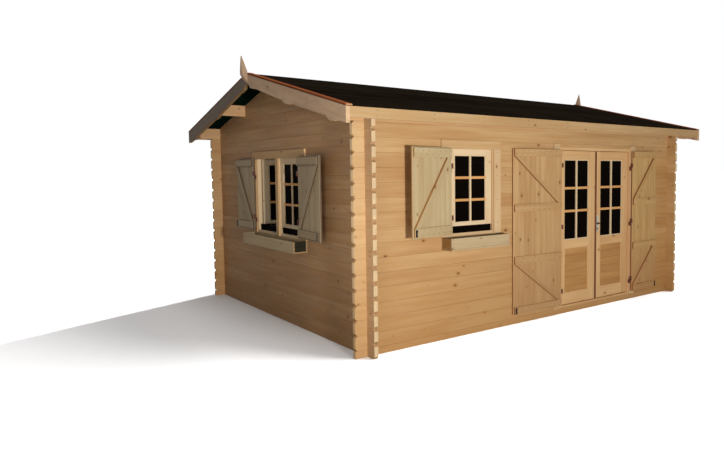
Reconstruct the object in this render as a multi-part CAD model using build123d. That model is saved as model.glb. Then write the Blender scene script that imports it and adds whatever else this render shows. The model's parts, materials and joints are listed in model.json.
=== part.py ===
from build123d import *
from math import cos, radians, tan
import os

# Log walls: the front and back start on a half log, the gables on a whole one
log_height = 135.0
log_thickness = 40.0
front_length = 4760.0
gable_depth = 3760.0
log_overhang = 120.0
log_end_bevel = 22.0
log_edge_chamfer = 2.5
course_count = 15
fit_gap = 0.3
cut_overrun = 50.0

# Roof
roof_slope = 13.5
eave_overhang = 255.0
verge_overhang = 318.0
deck_thickness = 19.0
felt_thickness = 3.0
purlin_width = 45.0
purlin_height = 125.0
fascia_thickness = 20.0
fascia_height = 92.0
bargeboard_thickness = 38.0
bargeboard_height = 168.0
bargeboard_edge_shares = ((0.02, 0.60), (0.045, 0.78), (0.075, 0.80), (0.115, 0.74), (0.16, 0.77),
                          (0.412, 0.85), (0.428, 0.92), (0.45, 0.97), (0.485, 0.96), (0.515, 0.87),
                          (0.836, 0.84), (0.852, 0.95), (0.868, 1.0), (0.9, 0.95), (0.925, 0.86))
bargeboard_peak_share = 0.60
bargeboard_foot_share = 0.82
plate_end_bevel = 45.0
verge_cap_width = 62.0
verge_cap_thickness = 14.0
finial_width = 62.0
finial_thickness = 58.0
finial_drop = 70.0
finial_nose = 80.0
finial_shoulder = 45.0
finial_rise = 205.0
finial_tip_share = 0.8

# Floor
joist_width = 60.0
joist_height = 65.0
joist_count = 9
floor_thickness = 20.0

# Double door, opening into the room
door_leaf_width = 650.0
door_leaf_thickness = 40.0
door_leaf_bottom = 95.0
door_leaf_top = 1880.0
door_leaf_setback = 18.0
door_gap = 5.0
door_jamb_width = 35.0
door_stile_width = 105.0
door_top_rail = 100.0
door_mid_rail_low = 760.0
door_glass_low = 846.0
door_bottom_rail = 120.0
door_panel_thickness = 16.0
door_glass_thickness = 6.0
threshold_height = 22.0
handle_plate_width = 36.0
handle_plate_height = 200.0
handle_plate_thickness = 5.0
handle_height = 1010.0
handle_lever_length = 110.0
handle_lever_radius = 8.0
handle_neck_length = 38.0

# Windows: one sash size serves both walls
window_sash_width = 556.0
window_sash_height = 761.0
window_sash_thickness = 36.0
window_sash_setback = 10.0
window_stile_width = 70.0
window_top_rail = 58.0
window_bottom_rail = 30.0
window_gap = 3.0
window_jamb_width = 30.0
window_sill_height = 28.0
window_light_height = 69.0
window_head_height = 34.0
window_post_width = 70.0
window_glass_thickness = 6.0
frame_depth = 58.0
front_window_courses = 7
gable_window_centre = -20.0
gable_window_courses = 7
open_sash_angle = 62.0
sash_hinge_radius = 6.0
sash_hinge_height = 60.0
sash_hinge_plate = 26.0
sash_hinge_plate_thickness = 3.0
sash_hinge_inset = 90.0

# Free lengths of the front wall: left of the window's shutter, and between its box and the door's shutter
front_left_share = 0.41
front_middle_share = 0.22

# Outside trim round the openings
architrave_width = 93.0
architrave_thickness = 20.0
architrave_reveal = 12.0
architrave_head_rise = 50.0
door_architrave_rise = 35.0

# Window boxes
box_depth = 155.0
box_height = 120.0
box_board = 16.0
box_reach = 70.0
box_drop = 4.0

# Shutters of boards on battens, hung on pintles
shutter_board = 18.0
shutter_batten = 20.0
shutter_batten_height = 85.0
shutter_brace_width = 70.0
shutter_door_batten_height = 80.0
shutter_margin = 4.0
shutter_edge = 10.0
shutter_meeting_gap = 6.0
shutter_closed_offset = 36.0
shutter_axis_offset = 52.0
shutter_end_margin = 12.0
door_shutter_bottom = 110.0
door_shutter_top = 1888.0
window_shutter_low = 22.0
window_shutter_high = 866.0
door_shutter_split_share = 0.575
door_batten_shares = (0.0, 0.32, 0.65, 1.0)
door_shutter_angle = 182.0
front_shutter_angle = 168.0
gable_left_shutter_angle = 182.0
gable_right_shutter_angle = 175.0

# Shutter and door hinges
pin_radius = 5.0
barrel_radius = 8.0
barrel_height = 40.0
pin_clearance = 0.3
strap_thickness = 4.0
strap_height = 34.0
strap_share = 0.62
round_sides = 12
strap_crank = 6.0
strap_crank_start = 2.0
arm_height = 10.0
arm_half_width = 6.0
arm_plate_height = 50.0
arm_plate_half_width = 12.0
arm_plate_thickness = 4.0
hinge_inset = 150.0
door_hinge_reach = 8.0
door_hinge_plate = 55.0
door_hinge_plate_thickness = 3.0
door_hinge_barrel_radius = 7.0
door_hinge_pin_radius = 4.5
door_hinge_height = 50.0

# Places worked out from the sizes above
half_length = front_length / 2
half_depth = gable_depth / 2
slope_rise = tan(radians(roof_slope))
plate_low = (course_count + 0.5) * log_height
plate_high = plate_low + log_height
verge_face = half_length + verge_overhang
verge_inner = verge_face - bargeboard_thickness
eave_face = half_depth + eave_overhang
deck_rise = deck_thickness / cos(radians(roof_slope))
felt_low = deck_rise + fit_gap
felt_high = felt_low + felt_thickness / cos(radians(roof_slope))
window_height = window_sill_height + window_light_height + window_sash_height + window_gap
window_height += window_head_height
front_window_bottom = (front_window_courses + 0.5) * log_height
gable_window_bottom = gable_window_courses * log_height
front_window_half = window_sash_width / 2 + window_gap
gable_window_half = window_sash_width + 2 * window_gap + window_post_width / 2
door_half = door_leaf_width + 1.5 * door_gap
door_bottom = log_height / 2
door_top = door_leaf_top + door_gap + door_jamb_width
floor_top = joist_height + fit_gap + floor_thickness
front_box_half = front_window_half + window_jamb_width + box_reach
gable_box_half = gable_window_half + window_jamb_width + box_reach
doorway = 2 * door_half - shutter_meeting_gap
left_shutter_width = doorway * door_shutter_split_share
right_shutter_width = doorway - left_shutter_width
front_shutter_width = 2 * front_window_half + shutter_margin
gable_shutter_width = gable_window_half - shutter_meeting_gap / 2
window_reach = front_window_half + front_shutter_width
free_length = front_length - 2 * log_thickness - window_reach - front_box_half - 2 * door_half - doorway
front_window_centre = log_thickness - half_length + front_left_share * free_length + window_reach
box_end = front_window_centre + front_box_half
door_centre = box_end + front_middle_share * free_length + left_shutter_width + door_half

front_plane = Plane(origin=(0, log_thickness - half_depth, 0), x_dir=(1, 0, 0), z_dir=(0, -1, 0))
back_plane = Plane(origin=(0, half_depth, 0), x_dir=(1, 0, 0), z_dir=(0, -1, 0))
left_plane = Plane(origin=(-half_length, 0, 0), x_dir=(0, 1, 0), z_dir=(1, 0, 0))
right_plane = Plane(origin=(half_length - log_thickness, 0, 0), x_dir=(0, 1, 0), z_dir=(1, 0, 0))
end_plane = Plane(origin=(0, 0, 0), x_dir=(0, 1, 0), z_dir=(1, 0, 0))


def block(x0, x1, y0, y1, z0, z1):
    """A box between two corners."""
    middle = Pos((x0 + x1) / 2, (y0 + y1) / 2, (z0 + z1) / 2)
    return middle * Box(abs(x1 - x0), abs(y1 - y0), abs(z1 - z0))


def prism(points, plane, depth):
    """A straight-sided outline drawn on a plane and given a depth."""
    return extrude(plane * make_face(Polyline(*points, close=True)), depth)


def lengthwise(points, x0, x1):
    """An outline in Y and Z that runs along the cabin from x0 to x1."""
    return Pos(x0, 0, 0) * prism(points, end_plane, x1 - x0)


def upright(x, y, z0, z1, radius):
    """A vertical bar, close to round."""
    return Pos(x, y, z0) * extrude(RegularPolygon(radius, round_sides), z1 - z0)


def solids_of(shapes):
    """All the separate solids of some shapes, in one list."""
    return [solid for shape in shapes for solid in shape.solids()]


def save(node, *shapes):
    """Write one named piece, or a set of like pieces, to its file."""
    pieces = solids_of(shapes)
    shape = pieces[0] if len(pieces) == 1 else Compound(pieces)
    export_step(shape, os.path.join("parts", node + ".step"))


def underside(y):
    """Height of the roof boards' underside at a distance from the ridge line."""
    return plate_high + (half_depth - abs(y)) * slope_rise


def log_outline(start, end, low, high, crossings, low_notch, high_notch, bevel):
    """Side of one log: bevelled ends and a half-lap notch at each crossing wall."""
    points = [(start, low + bevel), (start + bevel, low)] if bevel else [(start, low)]
    for near, far in crossings if low_notch else ():
        points += [(near, low), (near, low + low_notch), (far, low + low_notch), (far, low)]
    points += [(end - bevel, low), (end, low + bevel)] if bevel else [(end, low)]
    points += [(end, high - bevel), (end - bevel, high)] if bevel else [(end, high)]
    for near, far in reversed(crossings) if high_notch else ():
        points += [(far, high), (far, high - high_notch), (near, high - high_notch), (near, high)]
    points += [(start + bevel, high), (start, high - bevel)] if bevel else [(start, high)]
    return points


def log_section(outer, inner, low, high):
    """Section of a log, chamfered along the two edges of its outer face."""
    edge = log_edge_chamfer
    back = edge if outer > inner else -edge
    return [(inner, low), (outer - back, low), (outer, low + edge),
            (outer, high - edge), (outer - back, high), (inner, high)]


def log(plane, half_run, low, high, crossing_half, low_notch, high_notch, bevel):
    """One log on a wall's plane."""
    near = crossing_half - log_thickness - fit_gap
    far = crossing_half + fit_gap
    crossings = [(-far, -near), (near, far)] if low_notch or high_notch else []
    outline = log_outline(-half_run, half_run, low, high, crossings, low_notch, high_notch, bevel)
    side = prism(outline, plane, log_thickness)
    section_plane = Plane(plane.origin + plane.x_dir * half_run, x_dir=plane.z_dir, z_dir=plane.x_dir * -1)
    depths = (log_thickness, 0) if plane in (front_plane, right_plane) else (0, log_thickness)
    return side & prism(log_section(*depths, low, high), section_plane, 2 * half_run)


def long_wall(plane):
    """The front or back courses: a half log, then whole logs up to the plate."""
    lap = log_height / 4 + fit_gap / 2
    run = half_length + log_overhang
    courses = [log(plane, run, 0, log_height / 2 - fit_gap, half_length, 0, lap, 0)]
    for course in range(course_count):
        low = (course + 0.5) * log_height
        high = low + log_height - fit_gap
        courses.append(log(plane, run, low, high, half_length, lap, lap, log_end_bevel))
    return courses


def purlin_outline(y, growth):
    """Section of a purlin at a distance from the ridge, its top cut to the roof."""
    reach = purlin_width / 2 + growth
    low = underside(y) - purlin_height - growth
    crown = [(0, underside(0) - fit_gap)] if y == 0 else []
    return [(y - reach, low), (y + reach, low), (y + reach, underside(y + reach) - fit_gap), *crown,
            (y - reach, underside(y - reach) - fit_gap)]


purlin_places = (-half_depth / 2, 0, half_depth / 2)
roof_space = [(0, underside(0) - fit_gap), (eave_face, underside(eave_face) - fit_gap),
              (eave_face, 2 * plate_high), (-eave_face, 2 * plate_high),
              (-eave_face, underside(eave_face) - fit_gap)]


def gable_wall(plane):
    """One gable: whole logs to the plates, then logs trimmed to the roof."""
    lap = log_height / 4 + fit_gap / 2
    x0 = plane.origin.X - cut_overrun
    x1 = plane.origin.X + log_thickness + cut_overrun
    cuts = [lengthwise(roof_space, x0, x1)]
    cuts += [lengthwise(purlin_outline(y, fit_gap), x0, x1) for y in purlin_places]
    run = half_depth + log_overhang
    courses = []
    for course in range(course_count + 1):
        low = course * log_height
        high = low + log_height - fit_gap
        courses.append(log(plane, run, low, high, half_depth, lap, lap, log_end_bevel))
    low = (course_count + 1) * log_height
    trimmed_run = half_depth - log_thickness - fit_gap
    while low < underside(0):
        trimmed = log(plane, trimmed_run, low, low + log_height - fit_gap, half_depth, 0, 0, 0)
        for cut in cuts:
            trimmed = trimmed - cut
        courses.append(trimmed)
        low += log_height
    return courses


def plate(side):
    """The topmost log of a long wall, run out to the bargeboards under the eaves."""
    lap = log_height / 4 + fit_gap / 2
    outer = side * half_depth
    inner = side * (half_depth - log_thickness)
    section = [(outer, plate_low), (outer, plate_high - fit_gap),
               (inner, underside(inner) - fit_gap), (inner, plate_low)]
    reach = verge_inner - fit_gap
    bevel = plate_end_bevel
    outline = [(-reach, plate_low + bevel), (bevel - reach, plate_low), (reach - bevel, plate_low),
               (reach, plate_low + bevel), (reach, plate_high), (-reach, plate_high)]
    side_plane = Plane(origin=(0, max(outer, inner), 0), x_dir=(1, 0, 0), z_dir=(0, -1, 0))
    beam = lengthwise(section, -reach, reach) & prism(outline, side_plane, log_thickness)
    for end in (-1, 1):
        near = end * (half_length - log_thickness - fit_gap)
        far = end * (half_length + fit_gap)
        beam = beam - block(near, far, outer + side * cut_overrun, inner - side * cut_overrun,
                            plate_low - cut_overrun, plate_low + lap)
    return beam


def opening(plane, centre, half, low, high):
    """The hole through a wall for a door or window."""
    outline = [(centre - half, low), (centre + half, low), (centre + half, high), (centre - half, high)]
    return Pos(*(plane.z_dir * -cut_overrun)) * prism(outline, plane, log_thickness + 2 * cut_overrun)


def slope_slab(side, start, end, low_rise, high_rise, x0, x1):
    """A sheet lying on one roof slope, between two rises over the boards' underside."""
    a, b = side * start, side * end
    outline = [(a, underside(a) + low_rise), (b, underside(b) + low_rise),
               (b, underside(b) + high_rise), (a, underside(a) + high_rise)]
    return lengthwise(outline, x0, x1)


def bargeboard(side, end):
    """A sloping verge board with a shaped lower edge."""
    shares = ((0, bargeboard_peak_share), *bargeboard_edge_shares, (1, bargeboard_foot_share))
    run = eave_face - fit_gap
    lower = [(fit_gap + along * run, deck_rise - depth * bargeboard_height) for along, depth in shares]
    upper = [(eave_face, deck_rise), (fit_gap, deck_rise)]
    outline = [(side * y, underside(y) + rise) for y, rise in lower + upper]
    x0 = verge_inner if end > 0 else -verge_face
    return lengthwise(outline, x0, x0 + bargeboard_thickness)


def finial(end):
    """The pointed stake over the joint of two bargeboards: wedge-shaped from the side."""
    base = underside(0)
    half = finial_width / 2
    face = [(-half, base - finial_drop), (half, base - finial_drop), (half, base + finial_shoulder),
            (0, base + finial_rise), (-half, base + finial_shoulder)]
    back = verge_face + fit_gap
    front = back + finial_thickness
    tip = back + finial_tip_share * finial_thickness
    side = [(end * x, base + z) for x, z in ((back, -finial_drop), (front, finial_nose - finial_drop),
                                             (front, finial_rise), (tip, finial_rise), (back, finial_shoulder))]
    side_plane = Plane(origin=(0, half, 0), x_dir=(1, 0, 0), z_dir=(0, -1, 0))
    return lengthwise(face, min(end * back, end * front), max(end * back, end * front)) & prism(
        side, side_plane, finial_width)


os.makedirs("parts", exist_ok=True)

# Front wall, split beside and over the doorway
door_hole = opening(front_plane, door_centre, door_half + door_jamb_width,
                    door_bottom - fit_gap, door_top + fit_gap)
front_window_hole = opening(front_plane, front_window_centre, front_window_half + window_jamb_width,
                            front_window_bottom - fit_gap, front_window_bottom + window_height + fit_gap)
front_courses = long_wall(front_plane)
save("front_sill_log", front_courses[0])
beside_left, beside_right, above = [], [], []
for course in front_courses[1:]:
    for piece in solids_of([course - door_hole - front_window_hole]):
        box = piece.bounding_box()
        if box.min.X < door_centre < box.max.X:
            above.append(piece)
        elif box.max.X < door_centre:
            beside_left.append(piece)
        else:
            beside_right.append(piece)
save("front_wall_left", *beside_left)
save("front_wall_right", *beside_right)
save("front_wall_top", *above)

# Back wall, gables and plates
save("back_wall", *long_wall(back_plane))
gable_window_hole = opening(left_plane, gable_window_centre, gable_window_half + window_jamb_width,
                            gable_window_bottom - fit_gap, gable_window_bottom + window_height + fit_gap)
save("left_gable_wall", *[course - gable_window_hole for course in gable_wall(left_plane)])
save("right_gable_wall", *gable_wall(right_plane))
save("eave_plates", plate(-1), plate(1))

# Floor of boards on joists
room_length = half_length - log_thickness - fit_gap
room_depth = half_depth - log_thickness - fit_gap
joist_pitch = (2 * room_length - joist_width) / (joist_count - 1)
joist_places = [joist_pitch * (index - (joist_count - 1) / 2) for index in range(joist_count)]
joist_half = joist_width / 2
save("floor_joists", *[block(x - joist_half, x + joist_half, -room_depth, room_depth, 0, joist_height)
                       for x in joist_places])
door_frame_half = door_half + door_jamb_width
door_bay = block(door_centre - door_frame_half - fit_gap, door_centre + door_frame_half + fit_gap,
                 -half_depth, frame_depth + fit_gap - half_depth, 0, floor_top + cut_overrun)
floor = block(-room_length, room_length, -room_depth, room_depth, joist_height + fit_gap, floor_top)
save("floor_boards", floor - door_bay)

# Roof structure and covering
save("roof_purlins", *[lengthwise(purlin_outline(y, 0), fit_gap - verge_inner, verge_inner - fit_gap)
                       for y in purlin_places])
deck_end = eave_face - fascia_thickness - fit_gap
deck_reach = verge_inner - fit_gap
save("front_roof_boards", slope_slab(-1, fit_gap, deck_end, 0, deck_rise, -deck_reach, deck_reach))
save("back_roof_boards", slope_slab(1, fit_gap, deck_end, 0, deck_rise, -deck_reach, deck_reach))
save("roof_felt", *[slope_slab(side, fit_gap, eave_face, felt_low, felt_high, -verge_face, verge_face)
                    for side in (-1, 1)])
fascia_top = underside(eave_face) + deck_rise
fascia_back = eave_face - fascia_thickness
save("eave_fascias", *[block(-deck_reach, deck_reach, side * fascia_back, side * eave_face,
                             fascia_top - fascia_height, fascia_top) for side in (-1, 1)])
save("bargeboards", *[bargeboard(side, end) for side in (-1, 1) for end in (-1, 1)])
cap_low = felt_high + fit_gap
cap_high = cap_low + verge_cap_thickness
save("verge_caps", *[slope_slab(side, fit_gap, eave_face, cap_low, cap_high, x0, x0 + verge_cap_width)
                     for side in (-1, 1) for x0 in (-verge_face, verge_face - verge_cap_width)])
save("ridge_finials", finial(-1), finial(1))


def wall_frame(centre, half, jamb, low, high, sill, head):
    """Sill, head and two jambs of an opening, as boards in its plane: (start, end, low, high)."""
    return [(centre - half - jamb + fit_gap, centre + half + jamb - fit_gap, low, low + sill),
            (centre - half - jamb + fit_gap, centre + half + jamb - fit_gap, high - head, high),
            (centre - half - jamb + fit_gap, centre - half, low + sill + fit_gap, high - head - fit_gap),
            (centre + half, centre + half + jamb - fit_gap, low + sill + fit_gap, high - head - fit_gap)]


def side_boards(centre, half, low, high):
    """Two upright boards on the outside of an opening."""
    inner = half + architrave_reveal
    outer = inner + architrave_width
    return [(centre - outer, centre - inner, low, high), (centre + inner, centre + outer, low, high)]


def architrave_boards(centre, half, low, high):
    """The head board over an opening and the side boards under it."""
    outer = half + architrave_reveal + architrave_width
    foot = high - architrave_head_rise + architrave_reveal
    return [(centre - outer, centre + outer, foot + fit_gap, high + architrave_head_rise),
            *side_boards(centre, half, low, foot)]


def on_front(boards, outer, inner):
    """Boards in the front wall, from an outer to an inner depth behind its face."""
    return [block(a, b, outer - half_depth, inner - half_depth, low, high) for a, b, low, high in boards]


def on_left(boards, outer, inner):
    """Boards in the left gable, from an outer to an inner depth behind its face."""
    return [block(outer - half_length, inner - half_length, a, b, low, high) for a, b, low, high in boards]


def sash_boards(start, low):
    """Outer frame of a sash and the light cut through it."""
    side = (start, start + window_sash_width, low, low + window_sash_height)
    light = (start + window_stile_width, start + window_sash_width - window_stile_width,
             low + window_bottom_rail, low + window_sash_height - window_top_rail)
    return side, light


def sash(place, start, low):
    """A sash: one frame of stiles and rails round its light."""
    side, light = sash_boards(start, low)
    outer, inner = window_sash_setback, window_sash_setback + window_sash_thickness
    return place([side], outer, inner)[0] - place([light], outer - cut_overrun, inner + cut_overrun)[0]


def sash_glass(place, start, low):
    """The pane in a sash and the fixed strip of glass under it."""
    light = sash_boards(start, low)[1]
    middle = window_sash_setback + window_sash_thickness / 2
    pane = (light[0] + fit_gap, light[1] - fit_gap, light[2] + fit_gap, light[3] - fit_gap)
    strip = (start, start + window_sash_width, low - window_light_height + fit_gap, low - fit_gap)
    depths = (middle - window_glass_thickness / 2, middle + window_glass_thickness / 2)
    return place([pane, strip], *depths)


def swing_in(piece, axis_x, axis_y):
    """Turn a piece of the open sash into the room about its hinge line."""
    return Pos(axis_x, axis_y, 0) * Rot(0, 0, open_sash_angle) * Pos(-axis_x, -axis_y, 0) * piece


def sash_hinge(axis_x, axis_y, edge, face, z):
    """A hinge that holds the open sash: knuckle, plate on the frame and angle plate on the sash."""
    top = z + sash_hinge_height
    thickness = sash_hinge_plate_thickness
    knuckle = upright(axis_x, axis_y, z, top, sash_hinge_radius)
    room_face = frame_depth - half_length + fit_gap
    on_frame = block(room_face, room_face + thickness, axis_y, axis_y + sash_hinge_plate, z, top)
    flat = block(face + fit_gap, face + fit_gap + thickness, edge - sash_hinge_plate, edge, z, top)
    web = block(face + fit_gap, axis_x, edge - thickness, edge, z, top)
    return knuckle + on_frame + swing_in(flat + web, axis_x, axis_y)


# Door frame and leaves
door_frame_boards = wall_frame(door_centre, door_half, door_jamb_width, door_bottom, door_top,
                               threshold_height, door_jamb_width)
save("door_frame", *on_front(door_frame_boards, 0, frame_depth))
door_sides = side_boards(door_centre, door_half, door_bottom, door_top + door_architrave_rise)
trim = on_front(door_sides, -architrave_thickness, -fit_gap)

# Window frames, sashes and glass
front_frame = wall_frame(front_window_centre, front_window_half, window_jamb_width, front_window_bottom,
                         front_window_bottom + window_height, window_sill_height, window_head_height)
save("front_window_frame", *on_front(front_frame, 0, frame_depth))
gable_frame = wall_frame(gable_window_centre, gable_window_half, window_jamb_width, gable_window_bottom,
                         gable_window_bottom + window_height, window_sill_height, window_head_height)
post = (gable_window_centre - window_post_width / 2, gable_window_centre + window_post_width / 2,
        gable_window_bottom + window_sill_height + fit_gap,
        gable_window_bottom + window_height - window_head_height - fit_gap)
save("gable_window_frame", *on_left(gable_frame + [post], 0, frame_depth))
trim += on_front(architrave_boards(front_window_centre, front_window_half, front_window_bottom,
                                   front_window_bottom + window_height), -architrave_thickness, -fit_gap)
gable_trim = architrave_boards(gable_window_centre, gable_window_half, gable_window_bottom,
                               gable_window_bottom + window_height)
gable_trim.append((post[0], post[1], gable_window_bottom, gable_trim[0][2] - fit_gap))
trim += on_left(gable_trim, -architrave_thickness, -fit_gap)
save("architraves", *trim)
sash_rise = window_sill_height + window_light_height
front_sash_start = front_window_centre - window_sash_width / 2
gable_sash_starts = (gable_window_centre - window_post_width / 2 - window_gap - window_sash_width,
                     gable_window_centre + window_post_width / 2 + window_gap)
save("front_window_sash", sash(on_front, front_sash_start, front_window_bottom + sash_rise))
gable_sash_low = gable_window_bottom + sash_rise
open_edge = gable_sash_starts[1] + window_sash_width
open_face = window_sash_setback + window_sash_thickness - half_length
open_axis = (frame_depth + sash_hinge_radius - half_length, open_edge + window_gap / 2)
shut_sash, open_sash = [sash(on_left, start, gable_sash_low) for start in gable_sash_starts]
save("gable_window_sashes", shut_sash, swing_in(open_sash, *open_axis))
glass = sash_glass(on_front, front_sash_start, front_window_bottom + sash_rise)
glass += sash_glass(on_left, gable_sash_starts[0], gable_sash_low)
open_pane, strip = sash_glass(on_left, gable_sash_starts[1], gable_sash_low)
save("window_glass", *glass, swing_in(open_pane, *open_axis), strip)


def window_box(place, centre, half, top):
    """An open-topped planter of five boards: back, front, bottom and two ends."""
    low, floor_line = top - box_height, top - box_height + box_board
    front_in, back_in = -box_depth + box_board, -fit_gap - box_board
    across = (centre - half, centre + half)
    between = (centre - half + box_board + fit_gap, centre + half - box_board - fit_gap)
    inner = floor_line + fit_gap
    return [*place([(*across, low, floor_line)], -box_depth, -fit_gap),
            *place([(*across, inner, top)], -box_depth, front_in),
            *place([(*across, inner, top)], back_in, -fit_gap),
            *place([(across[0], across[0] + box_board, inner, top),
                    (across[1] - box_board, across[1], inner, top)], front_in + fit_gap, back_in - fit_gap)]


save("front_window_box", *window_box(on_front, front_window_centre, front_box_half,
                                     front_window_bottom - box_drop))
save("gable_window_box", *window_box(on_left, gable_window_centre, gable_box_half,
                                     gable_window_bottom - box_drop))


# Door leaves: stiles and rails round a light above a thin panel
leaf_outer = door_leaf_setback - half_depth
leaf_inner = leaf_outer + door_leaf_thickness
leaf_middle = (leaf_outer + leaf_inner) / 2


def door_leaf(start):
    """One leaf from its left edge."""
    end = start + door_leaf_width
    leaf = block(start, end, leaf_outer, leaf_inner, door_leaf_bottom, door_leaf_top)
    left, right = start + door_stile_width, end - door_stile_width
    leaf = leaf - block(left, right, leaf_outer - cut_overrun, leaf_inner + cut_overrun,
                        door_glass_low, door_leaf_top - door_top_rail)
    panel_low = door_leaf_bottom + door_bottom_rail
    for face, away in ((leaf_outer, -1), (leaf_inner, 1)):
        sunk = face - away * (door_leaf_thickness - door_panel_thickness) / 2
        leaf = leaf - block(left, right, sunk, face + away * cut_overrun, panel_low, door_mid_rail_low)
    return leaf


def door_glass(start):
    """The pane of one leaf."""
    left, right = start + door_stile_width + fit_gap, start + door_leaf_width - door_stile_width - fit_gap
    half = door_glass_thickness / 2
    return block(left, right, leaf_middle - half, leaf_middle + half,
                 door_glass_low + fit_gap, door_leaf_top - door_top_rail - fit_gap)


left_leaf_start = door_centre - door_gap / 2 - door_leaf_width
right_leaf_start = door_centre + door_gap / 2
save("left_door_leaf", door_leaf(left_leaf_start))
save("right_door_leaf", door_leaf(right_leaf_start))
save("left_door_glass", door_glass(left_leaf_start))
save("right_door_glass", door_glass(right_leaf_start))


# Door hinges: knuckles on the leaf turn on pins carried by plates on the jambs
door_axis_depth = leaf_inner + door_hinge_reach
door_axes = (door_centre - door_half + door_gap / 2, door_centre + door_half - door_gap / 2)
door_hinge_places = (door_leaf_bottom + hinge_inset, door_leaf_top - hinge_inset - door_hinge_height)
pins = [sash_hinge(*open_axis, open_edge, open_face, z)
        for z in (gable_sash_low + sash_hinge_inset,
                  gable_sash_low + window_sash_height - sash_hinge_inset - sash_hinge_height)]


def door_hinges(axis_x, away):
    """Knuckles and plates on one leaf, and their pins on the jamb."""
    knuckles = []
    bore = door_hinge_pin_radius + pin_clearance
    plate_y0, plate_y1 = leaf_inner + fit_gap, leaf_inner + fit_gap + door_hinge_plate_thickness
    for z in door_hinge_places:
        top = z + door_hinge_height
        barrel = upright(axis_x, door_axis_depth, z, top, door_hinge_barrel_radius)
        plate_start = axis_x + away * door_hinge_barrel_radius / 2
        leaf_plate = block(plate_start, axis_x + away * door_hinge_plate, plate_y0, plate_y1, z, top)
        hole = upright(axis_x, door_axis_depth, z - cut_overrun, top + cut_overrun, bore)
        knuckles.append(barrel + leaf_plate - hole)
        foot = z - fit_gap
        lower = upright(axis_x, door_axis_depth, foot - door_hinge_height, foot, door_hinge_barrel_radius)
        jamb_plate = block(axis_x - away * door_hinge_barrel_radius / 2, axis_x - away * door_jamb_width,
                           plate_y0, plate_y1, foot - door_hinge_height, foot)
        pin = upright(axis_x, door_axis_depth, foot, top, door_hinge_pin_radius)
        pins.append(lower + jamb_plate + pin)
    return knuckles


save("left_door_hinges", *door_hinges(door_axes[0], 1))
save("right_door_hinges", *door_hinges(door_axes[1], -1))


# Lever handles and their plates, on both faces of the right leaf
def handle(face, away):
    """A plate with a round neck and a lever that points at the hinges."""
    x = right_leaf_start + door_stile_width / 2
    plate_far = face + away * (fit_gap + handle_plate_thickness)
    across, upward = handle_plate_width / 2, handle_plate_height / 2
    plate_box = block(x - across, x + across, face + away * fit_gap, plate_far,
                      handle_height - upward, handle_height + upward)
    neck = upright(0, 0, 0, handle_neck_length + handle_plate_thickness, handle_lever_radius)
    neck = Pos(x, face + away * fit_gap, handle_height) * Rot(-away * 90, 0, 0) * neck
    lever_end = handle_lever_length - handle_lever_radius
    lever = upright(0, 0, -handle_lever_radius, lever_end, handle_lever_radius)
    lever_depth = plate_far + away * (handle_neck_length - handle_lever_radius)
    lever = Pos(x, lever_depth, handle_height) * Rot(0, 90, 0) * lever
    return plate_box + neck + lever


save("door_handle", handle(leaf_outer, -1), handle(leaf_inner, 1))


# Shutters: each is drawn shut from its hinge axis, then swung to where it stands
board_low = shutter_closed_offset - shutter_axis_offset + shutter_batten
board_high = board_low + shutter_board


def brace_outline(left, right, low, high, rising):
    """A diagonal between two battens, cut to lie against both of them."""
    half = shutter_brace_width / 2
    ends = ((left, right) if rising else (right, left))
    step = half * (1 if rising else -1)
    return [(ends[0], low), (ends[0] + 2 * step, low), (ends[1], high), (ends[1] - 2 * step, high)]


def shutter(width, low, high, batten_height, batten_places, braces):
    """Boards, battens and braces of a shut shutter, hung at the origin and reaching along X."""
    pieces = [block(shutter_edge, width, board_low, board_high, low, high)]
    left, right = shutter_edge + shutter_end_margin, width - shutter_end_margin
    inner, outer = board_low - shutter_batten, board_low - fit_gap
    for z in batten_places:
        pieces.append(block(left, right, inner, outer, z, z + batten_height))
    plane = Plane(origin=(0, outer, 0), x_dir=(1, 0, 0), z_dir=(0, -1, 0))
    for brace_low, brace_high, rising in braces:
        outline = brace_outline(left, right, brace_low + fit_gap, brace_high - fit_gap, rising)
        pieces.append(prism(outline, plane, outer - inner))
    return pieces


def shutter_straps(width, places):
    """Cranked straps on the boards' outer face, each rolled round its pintle."""
    straps = []
    bore = pin_radius + pin_clearance
    face = board_high + fit_gap
    for z in places:
        top = z + barrel_height
        low, high = z + (barrel_height - strap_height) / 2, z + (barrel_height + strap_height) / 2
        barrel = upright(0, 0, z, top, barrel_radius)
        far = face + strap_thickness
        crank = block(strap_crank_start, strap_crank_start + strap_crank, 0, far, low, high)
        strap = block(strap_crank_start, width * strap_share, face, far, low, high)
        bored = barrel + crank + strap - upright(0, 0, z - cut_overrun, top + cut_overrun, bore)
        straps.append(bored)
    return straps


def shutter_pintles(places):
    """Pins standing on arms that reach out from plates on the trim."""
    hung = []
    trim_face = architrave_thickness + fit_gap - shutter_axis_offset
    for z in places:
        foot = z - fit_gap
        pin = upright(0, 0, foot - arm_height, z + barrel_height, pin_radius)
        arm = block(-arm_half_width, arm_half_width, trim_face, barrel_radius, foot - arm_height, foot)
        back = block(-arm_plate_half_width, arm_plate_half_width,
                     trim_face, trim_face + arm_plate_thickness, foot - arm_plate_height, foot)
        hung.append(pin + arm + back)
    return hung


def hang(pieces, axis_x, axis_y, facing, turn, swing):
    """Carry pieces from the origin to a hinge axis, mirrored for a hinge that turns the other way."""
    if turn < 0:
        pieces = [mirror(piece, Plane.XZ) for piece in pieces]
    return [Pos(axis_x, axis_y, 0) * Rot(0, 0, facing + turn * swing) * piece for piece in pieces]


front_axis = -half_depth - shutter_axis_offset
left_axis = -half_length - shutter_axis_offset


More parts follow.
